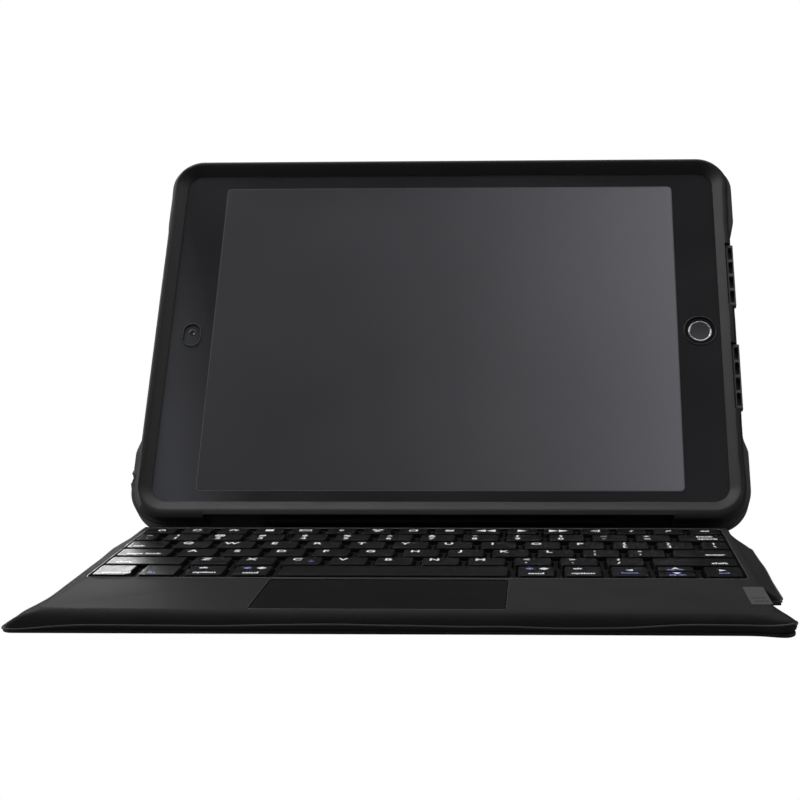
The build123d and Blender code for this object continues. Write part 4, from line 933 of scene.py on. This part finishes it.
class TABLETCASE_OT_trackpad(bpy.types.Operator):
    """The touch surface with softened edges, and the switch label's marks"""
    bl_idname = "tabletcase.trackpad"
    bl_label = "Trackpad and label"

    def execute(self, context):
        """Stacked rounded rectangles, drawn in at the top edge; the marks are flat type on the label."""
        low, high, top = PAD_LOW, PAD_HIGH, PAD_HIGH[2]
        mesh = stack("trackpad", [
            (low[0] + inset, high[0] - inset, low[1] + inset, high[1] - inset, max(1.2 - inset, 0.3), z)
            for inset, z in ((0, low[2]), (0, top - 0.22), (0.06, top - 0.08), (0.2, top), (0.5, top))])
        piece = link("trackpad", mesh, made("trackpad"), "trackpad", ("trackpad_plate",))
        sharp_by_angle(piece, 40)
        x, front, size = middle_of(LABEL_LOW, LABEL_HIGH)[0], LABEL_LOW[1], 3.0
        marks = [("OFF", x - 0.2, front + 9.5, size), ("ON", x + 0.2, front + 4.8, size)]
        mesh = type_mesh("label_marks", marks, LABEL_HIGH[2] + 0.01, 0.12)
        link("label_marks", mesh, made("label_ink"), "keyboard")
        return {"FINISHED"}


# ================================================================ keys
def key_rectangles(name):
    """Each key of a node as (left, right, front, back): runs of overlapping triangle spans in X."""
    mesh = frame["nodes"][name].data
    corners = np.empty(len(mesh.loops), dtype=int)
    mesh.loops.foreach_get("vertex_index", corners)
    points = node_points(name)[corners].reshape(-1, 3, 3)
    low, high = points[:, :, 0].min(axis=1), points[:, :, 0].max(axis=1)
    order = np.argsort(low)
    low, high = low[order], np.maximum.accumulate(high[order])
    breaks = np.flatnonzero(low[1:] > high[:-1] + 0.1)
    starts = np.concatenate([[0], breaks + 1])
    ends = np.concatenate([breaks, [len(low) - 1]])
    box_low, box_high = node_box(name)
    return [(low[a], high[b], box_low[1], box_high[1]) for a, b in zip(starts, ends)]


KEY_NODES = [name for name in sorted(frame["nodes"]) if name.endswith("_key") or name.endswith("_row_keys")]
KEY_LOW_Z, KEY_TOP = node_box("space_key")[0][2], node_box("space_key")[1][2]
NODE_BODY = {node: body for body, nodes in frame["record"]["behaviour"]["bodies"].items() for node in nodes}


def type_mesh(name, marks, z, bold=0.0):
    """Flat type as one mesh; each mark is (text, x, y, size) with its box centred on x, y."""
    work = bmesh.new()
    for text, x, y, size in marks:
        curve = bpy.data.curves.new("mark", "FONT")
        curve.body, curve.size, curve.resolution_u, curve.offset = text, size * MM, 3, bold * MM
        holder = put("mark", curve)
        mesh = evaluated_mesh(holder)
        bpy.data.objects.remove(holder)
        flat = np.empty(3 * len(mesh.vertices))
        mesh.vertices.foreach_get("co", flat)
        if len(flat):
            flat = flat.reshape(-1, 3)
            middle = (flat.min(axis=0) + flat.max(axis=0)) / 2
            place = Matrix.Translation((x * MM, y * MM, z * MM))
            mesh.transform(place @ Matrix.Translation(-Vector(middle)))
            work.from_mesh(mesh)
        bpy.data.meshes.remove(mesh)
    for face in work.faces:
        if face.normal.z < 0:
            face.normal_flip()
    result = bpy.data.meshes.new(name)
    work.to_mesh(result)
    work.free()
    return result


class TABLETCASE_OT_keycaps(bpy.types.Operator):
    """Every keycap with drafted sides, rounded edges, a shallow dish and a hollow underside"""
    bl_idname = "tabletcase.keycaps"
    bl_label = "Keycaps"

    def execute(self, context):
        """Stacked rounded rectangles: the side leans in by the draft, the edge is a quarter round."""
        folio = context.scene.keyboard_case_folio
        edge, dish, draft = folio.cap_edge, folio.cap_dish, math.tan(math.radians(12))
        rise = KEY_TOP - KEY_LOW_Z - edge
        lean = rise * draft
        wall, hollow = 1.1, 1.5
        levels = [(wall, KEY_LOW_Z + hollow), (wall, KEY_LOW_Z), (0, KEY_LOW_Z), (lean * 0.85, KEY_LOW_Z + rise * 0.85)]
        levels += [(lean + edge * (1 - math.cos(a)), KEY_TOP - edge + edge * math.sin(a))
                   for a in np.linspace(0, math.pi / 2, 5)]
        levels += [(lean + edge + 0.35, KEY_TOP - 0.01), (lean + edge + 1.6, KEY_TOP - dish * 0.7),
                   (lean + edge + 2.8, KEY_TOP - dish)]
        for name in KEY_NODES:
            caps = []
            for x0, x1, y0, y1 in key_rectangles(name):
                half = min(x1 - x0, y1 - y0) / 2
                caps.append(stack("cap", [(x0 + i, x1 - i, y0 + i, y1 - i, max(1.6 - i * 0.6, 0.25), z)
                                          for i, z in levels if i < half - 0.6], steps=4))
            cap_name = name.replace("_key", "_cap")
            mesh = merged(cap_name, caps)
            piece = link(cap_name, mesh, made("keycap"), NODE_BODY[name], (name,))
            shade_smooth(mesh)
            sharp_by_angle(piece, 40)
        return {"FINISHED"}


ICONS = ["⌂", "☀", "☼", "■", "⌨", "⚲", "✂", "❐", "☰", "◀◀", "▶", "▶▶", "◁", "♪", "♫", "del"]
# In each row a key has one letter, or its lower and upper sign.
NUMBERS = "1! 2@ 3# 4$ 5% 6^ 7& 8* 9( 0) -_ =+".split()
LETTERS = {"q": [*"QWERTYUIOP", "[{", "]}"], "a": [*"ASDFGHJKL", ";:", "'\""], "z": [*"ZXCVBNM", ",<", ".>", "/?"]}
WORDS = {
    "tab_key": ("tab", "left"), "caps_lock_key": ("caps lock", "left"), "left_shift_key": ("shift", "left"),
    "control_key": ("control", "left"), "enter_key": ("enter", "right"),
    "right_shift_key": ("shift", "right"), "backspace_key": ("space", "right"),
}
INSET = 5.0  # from a key's left edge to the middle of its letter


class TABLETCASE_OT_legends(bpy.types.Operator):
    """The printed letters, signs and words on the keycaps"""
    bl_idname = "tabletcase.legends"
    bl_label = "Legends"

    def execute(self, context):
        """Flat type a hair above each cap, placed from its rectangle: letters up and left of the middle."""
        size = context.scene.keyboard_case_folio.letter_size
        white, violet = {}, {}

        def mark(store, node, text, x, y, scale=1.0):
            store.setdefault(node, []).append((text, x, y, size * scale))

        def key(node):
            x0, x1, y0, y1 = key_rectangles(node)[0]
            return x0, x1, y0, y1, (x0 + x1) / 2

        for (x0, x1, y0, y1), icon in zip(key_rectangles("function_row_keys"), ICONS):
            mark(white, "function_row_keys", icon, (x0 + x1) / 2, (y0 + y1) / 2 + 0.4, 0.6 if len(icon) == 3 else 0.85)
        for (x0, _, y0, _), (lower, upper) in zip(key_rectangles("number_row_keys"), NUMBERS):
            mark(white, "number_row_keys", upper, x0 + INSET, y0 + 9.7, 0.84)
            mark(white, "number_row_keys", lower, x0 + INSET, y0 + 4.4, 0.88)
        for row, letters in LETTERS.items():
            node = row + "_row_keys"
            for (x0, x1, y0, y1), signs in zip(key_rectangles(node), letters):
                if len(signs) == 1:
                    mark(white, node, signs, x0 + INSET, y1 - 4.2)
                    if signs == "C":
                        mark(violet, node, "✿", x1 - 4.2, y0 + 5.2, 0.7)
                else:
                    mark(white, node, signs[1], x0 + INSET, y1 - 3.6, 0.85)
                    mark(white, node, signs[0], x0 + INSET, y0 + 4.2, 0.88)
        for node, (word, side) in WORDS.items():
            x0, x1, y0, _, _ = key(node)
            wide = 0.3 * size * len(word) * 0.62
            mark(white, node, word, x0 + 2.0 + wide if side == "left" else x1 - 2.0 - wide, y0 + 3.8, 0.68)
        _, x1, _, y1, _ = key("backspace_key")
        mark(white, "backspace_key", "back", x1 - 7.4, y1 - 3.8, 0.68)
        for node, upper, lower in (("backtick_key", "~", "`"), ("backslash_key", "|", "\\")):
            _, _, y0, y1, middle = key(node)
            mark(white, node, upper, middle, y1 - 3.6, 0.7)
            mark(white, node, lower, middle, y0 + 4.2, 0.7)
        for node in ("left_option_key", "right_option_key"):
            _, _, y0, y1, middle = key(node)
            mark(white, node, "alt", middle - 1.8, y1 - 4.2, 0.6)
            mark(white, node, "option", middle, y0 + 4.2, 0.62)
        for node in ("left_command_key", "right_command_key"):
            _, _, y0, y1, middle = key(node)
            mark(white, node, "cmd", middle, y0 + 4.2, 0.66)
            mark(violet, node, "✱", middle - 2.4, y1 - 4.6, 0.8)
            mark(white, node, "❖", middle + 2.8, y1 - 4.6, 0.7)
        x0, _, y0, _, _ = key("function_key")
        mark(violet, "function_key", "fn", x0 + 4.6, y0 + 4.2, 0.78)
        for way, sign, word in (("left", "◀", "home"), ("right", "▶", "end"),
                                ("up", "▲", "pg up"), ("down", "▼", "pg dn")):
            node = f"arrow_{way}_key"
            _, _, y0, y1, middle = key(node)
            above, below = (1.8, 3.0) if y1 - y0 > 10 else (1.0, 1.8)
            mark(white, node, sign, middle, (y0 + y1) / 2 + above, 0.55)
            mark(violet, node, word, middle, (y0 + y1) / 2 - below, 0.52)
        for store, finish_name, ending in ((white, "legend_white", ""), (violet, "legend_violet", "_second")):
            for node, marks in store.items():
                name = node.replace("_key", "_print") + ending
                mesh = type_mesh(name, marks, KEY_TOP + 0.015, 0.13)
                link(name, mesh, made(finish_name), NODE_BODY[node])
        return {"FINISHED"}


class TABLETCASE_OT_spine(bpy.types.Operator):
    """The fabric flap from the keyboard's back edge to the case's lower edge"""
    bl_idname = "tabletcase.spine"
    bl_label = "Fabric spine"

    def execute(self, context):
        """A Bezier curve through the side view, sum of C(n, k) t^k (1 - t)^(n - k) * point, carried across.

        Its length and its width are the sheet's flat size.
        """
        low, high = node_box("spine_sheet")
        dock_low, _ = screen_box("dock_bar")
        end = SCREEN_MIDDLE + dock_low[1] * UPWARD + (dock_low[2] + 0.6) * NORMAL
        start_y = low[1] + 0.1
        route = np.array([
            [start_y, 0.75], [start_y + 4, 0.6], [start_y + 9, 0.6], [start_y + 12.2, 1.2], [start_y + 12.8, 2.9],
            [end[1] + 1.0, end[2] - 0.9], [end[1] - 0.1, end[2] + 0.1],
        ])
        t = np.linspace(0, 1, 60)
        degree = len(route) - 1
        weights = [math.comb(degree, k) * t ** k * (1 - t) ** (degree - k) for k in range(degree + 1)]
        line = np.stack(weights, axis=1) @ route
        middle, half = (low[0] + high[0]) / 2, (high[0] - low[0]) / 2 - 1
        xs = np.linspace(middle - half, middle + half, 90)
        ripple = 0.12 * np.sin(xs / 9.0)[:, None] * np.sin(math.pi * t)[None]
        grid = np.stack([np.repeat(xs[:, None], len(t), 1), np.repeat(line[None, :, 0], len(xs), 0),
                         line[None, :, 1] + ripple], axis=2)
        mesh = quads_mesh("spine_fabric", grid)
        piece = put("spine_fabric", mesh)
        mesh.materials.append(made("spine_fabric"))
        thick = piece.modifiers.new("cloth", "SOLIDIFY")
        thick.thickness, thick.offset = 0.6 * MM, 0.0
        solid = evaluated_mesh(piece)
        piece.modifiers.clear()
        piece.data = solid
        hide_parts("spine_sheet")
        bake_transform(piece)
        return {"FINISHED"}


# ================================================================ studio
LENS, SENSOR, SHIFT = 75.4164, 36.0, (-0.1, -0.0375)
EYE = (46.330, -674.0175, 135.155)
PITCH, YAW, ROLL_TURN = 0.08821, -0.04012, 0.00557
FLOOR = ((-3500, 3500), (-3000, 3500))
# Each light's place, the point it is aimed at, and its width and height, in metres.
LIGHTS = {
    "key_light": ((-0.65, 0.15, 0.90), (-0.02, 0.02, 0.04), 0.7, 0.7),
    "top_light": ((0.05, 0.30, 1.05), (0.0, 0.0, 0.05), 1.1, 0.5),
    "fill_light": ((0.85, -0.20, 0.65), (0.05, 0.02, 0.05), 0.6, 0.6),
    "side_light": ((-1.0, -0.30, 0.22), (-0.12, 0.0, 0.08), 0.3, 0.4),
    "rim_light": ((-0.33, 0.58, 0.15), (-0.11, -0.04, 0.01), 0.14, 0.10),
}


class TABLETCASE_OT_studio(bpy.types.Operator):
    """The pale floor, the soft lights and the camera"""
    bl_idname = "tabletcase.studio"
    bl_label = "Studio"

    def execute(self, context):
        self.floor()
        self.world(context.scene)
        for name in LIGHTS:
            self.light(name, *LIGHTS[name], getattr(context.scene.keyboard_case_studio, name))
        context.scene.camera = self.camera()
        context.scene.view_settings.view_transform = "Standard"
        return {"FINISHED"}

    def floor(self):
        """A floor that takes light like grey paper and looks white to the camera."""
        corners = np.array([[[x, y, 0.0] for y in FLOOR[1]] for x in FLOOR[0]], float)
        mesh = quads_mesh("floor", corners, flip=True)
        floor = put("floor", mesh)
        paper = finish("floor_paper", (0.30, 0.30, 0.30), 0.95, 400, 0.02, tint=1.02, Specular_IOR_Level=0.0)
        tree = paper.node_tree
        seen = add(tree, "ShaderNodeLightPath")
        glow, blend = add(tree, "ShaderNodeEmission"), add(tree, "ShaderNodeMixShader")
        wire(tree, (seen, "Is Camera Ray", blend, "Fac"), (tree.nodes["Principled BSDF"], 0, blend, 1),
             (glow, 0, blend, 2), (blend, 0, tree.nodes["Material Output"], "Surface"))
        mesh.materials.append(paper)

    def world(self, scene):
        """A dim grey surround that lightens upwards, and looks white to the camera."""
        world = bpy.data.worlds.new("studio")
        world.use_nodes = True
        scene.world = world
        tree = world.node_tree
        place = add(tree, "ShaderNodeTexCoord")
        split = add(tree, "ShaderNodeSeparateXYZ")
        ramp = add(tree, "ShaderNodeValToRGB")
        seen = add(tree, "ShaderNodeLightPath")
        mix = add(tree, "ShaderNodeMix", data_type="RGBA", B=(1.02, 1.02, 1.02, 1))
        stops = ((0.0, (0.075, 0.075, 0.078, 1)), (0.8, (0.09, 0.09, 0.094, 1)))
        for element, (position, grey) in zip(ramp.color_ramp.elements, stops):
            element.position, element.color = position, grey
        wire(tree, (place, "Generated", split, 0), (split, "Z", ramp, "Fac"), (ramp, "Color", mix, "A"),
             (seen, "Is Camera Ray", mix, "Factor"), (mix, "Result", tree.nodes["Background"], "Color"))

    def light(self, name, at, towards, width, height, power):
        """One soft rectangular light aimed at a point."""
        data = bpy.data.lights.new(name, "AREA")
        data.shape, data.size, data.size_y, data.energy = "RECTANGLE", width, height, power
        lamp = put(name, data)
        lamp.location = at
        lamp.rotation_euler = (Vector(towards) - Vector(at)).to_track_quat("-Z", "Y").to_euler()

    def camera(self):
        """The viewing angle: axes from pitch, yaw and roll, and a small shift for the framing."""
        data = bpy.data.cameras.new("camera")
        data.sensor_width, data.lens, data.clip_end = SENSOR, LENS, 50
        data.shift_x, data.shift_y = SHIFT
        camera = put("camera", data)
        sp, cp, sy, cy = math.sin(PITCH), math.cos(PITCH), math.sin(YAW), math.cos(YAW)
        ahead = Vector((sy * cp, cy * cp, -sp))
        right0, up0 = Vector((cy, -sy, 0)), Vector((sy * sp, cy * sp, cp))
        cr, sr = math.cos(ROLL_TURN), math.sin(ROLL_TURN)
        right, up = cr * right0 - sr * up0, sr * right0 + cr * up0
        camera.matrix_world = Matrix.Translation(Vector(EYE) * MM) @ Matrix((right, up, -ahead)).transposed().to_4x4()
        return camera


class TABLETCASE_PT_panel(bpy.types.Panel):
    """The pieces of the keyboard case, in order"""
    bl_idname = "TABLETCASE_PT_panel"
    bl_label = "Keyboard case"
    bl_space_type = "VIEW_3D"
    bl_region_type = "UI"
    bl_category = "Keyboard case"

    def draw(self, context):
        for holder in SETTINGS:
            group = getattr(context.scene, holder)
            for name in group.__annotations__:
                self.layout.prop(group, name)
        for operator in OPERATORS:
            self.layout.operator(operator.bl_idname)


SETTINGS = {"keyboard_case_sizes": CaseSizes, "keyboard_case_folio": FolioSizes,
            "keyboard_case_finishes": Finishes, "keyboard_case_studio": Studio}
OPERATORS = (
    TABLETCASE_OT_finishes, TABLETCASE_OT_bezel, TABLETCASE_OT_bumper, TABLETCASE_OT_speakers,
    TABLETCASE_OT_screen, TABLETCASE_OT_cover, TABLETCASE_OT_trackpad, TABLETCASE_OT_keycaps,
    TABLETCASE_OT_legends, TABLETCASE_OT_spine, TABLETCASE_OT_studio,
)


def register():
    for item in (*SETTINGS.values(), *OPERATORS, TABLETCASE_PT_panel):
        bpy.utils.register_class(item)
    for name, kind in SETTINGS.items():
        setattr(bpy.types.Scene, name, PointerProperty(type=kind))


def unregister():
    for name in SETTINGS:
        delattr(bpy.types.Scene, name)
    for item in reversed((*SETTINGS.values(), *OPERATORS, TABLETCASE_PT_panel)):
        bpy.utils.unregister_class(item)


def main():
    """Build every piece in order."""
    register()
    for operator in OPERATORS:
        family, name = operator.bl_idname.split(".")
        getattr(getattr(bpy.ops, family), name)()


if __name__ == "__main__":
    main()
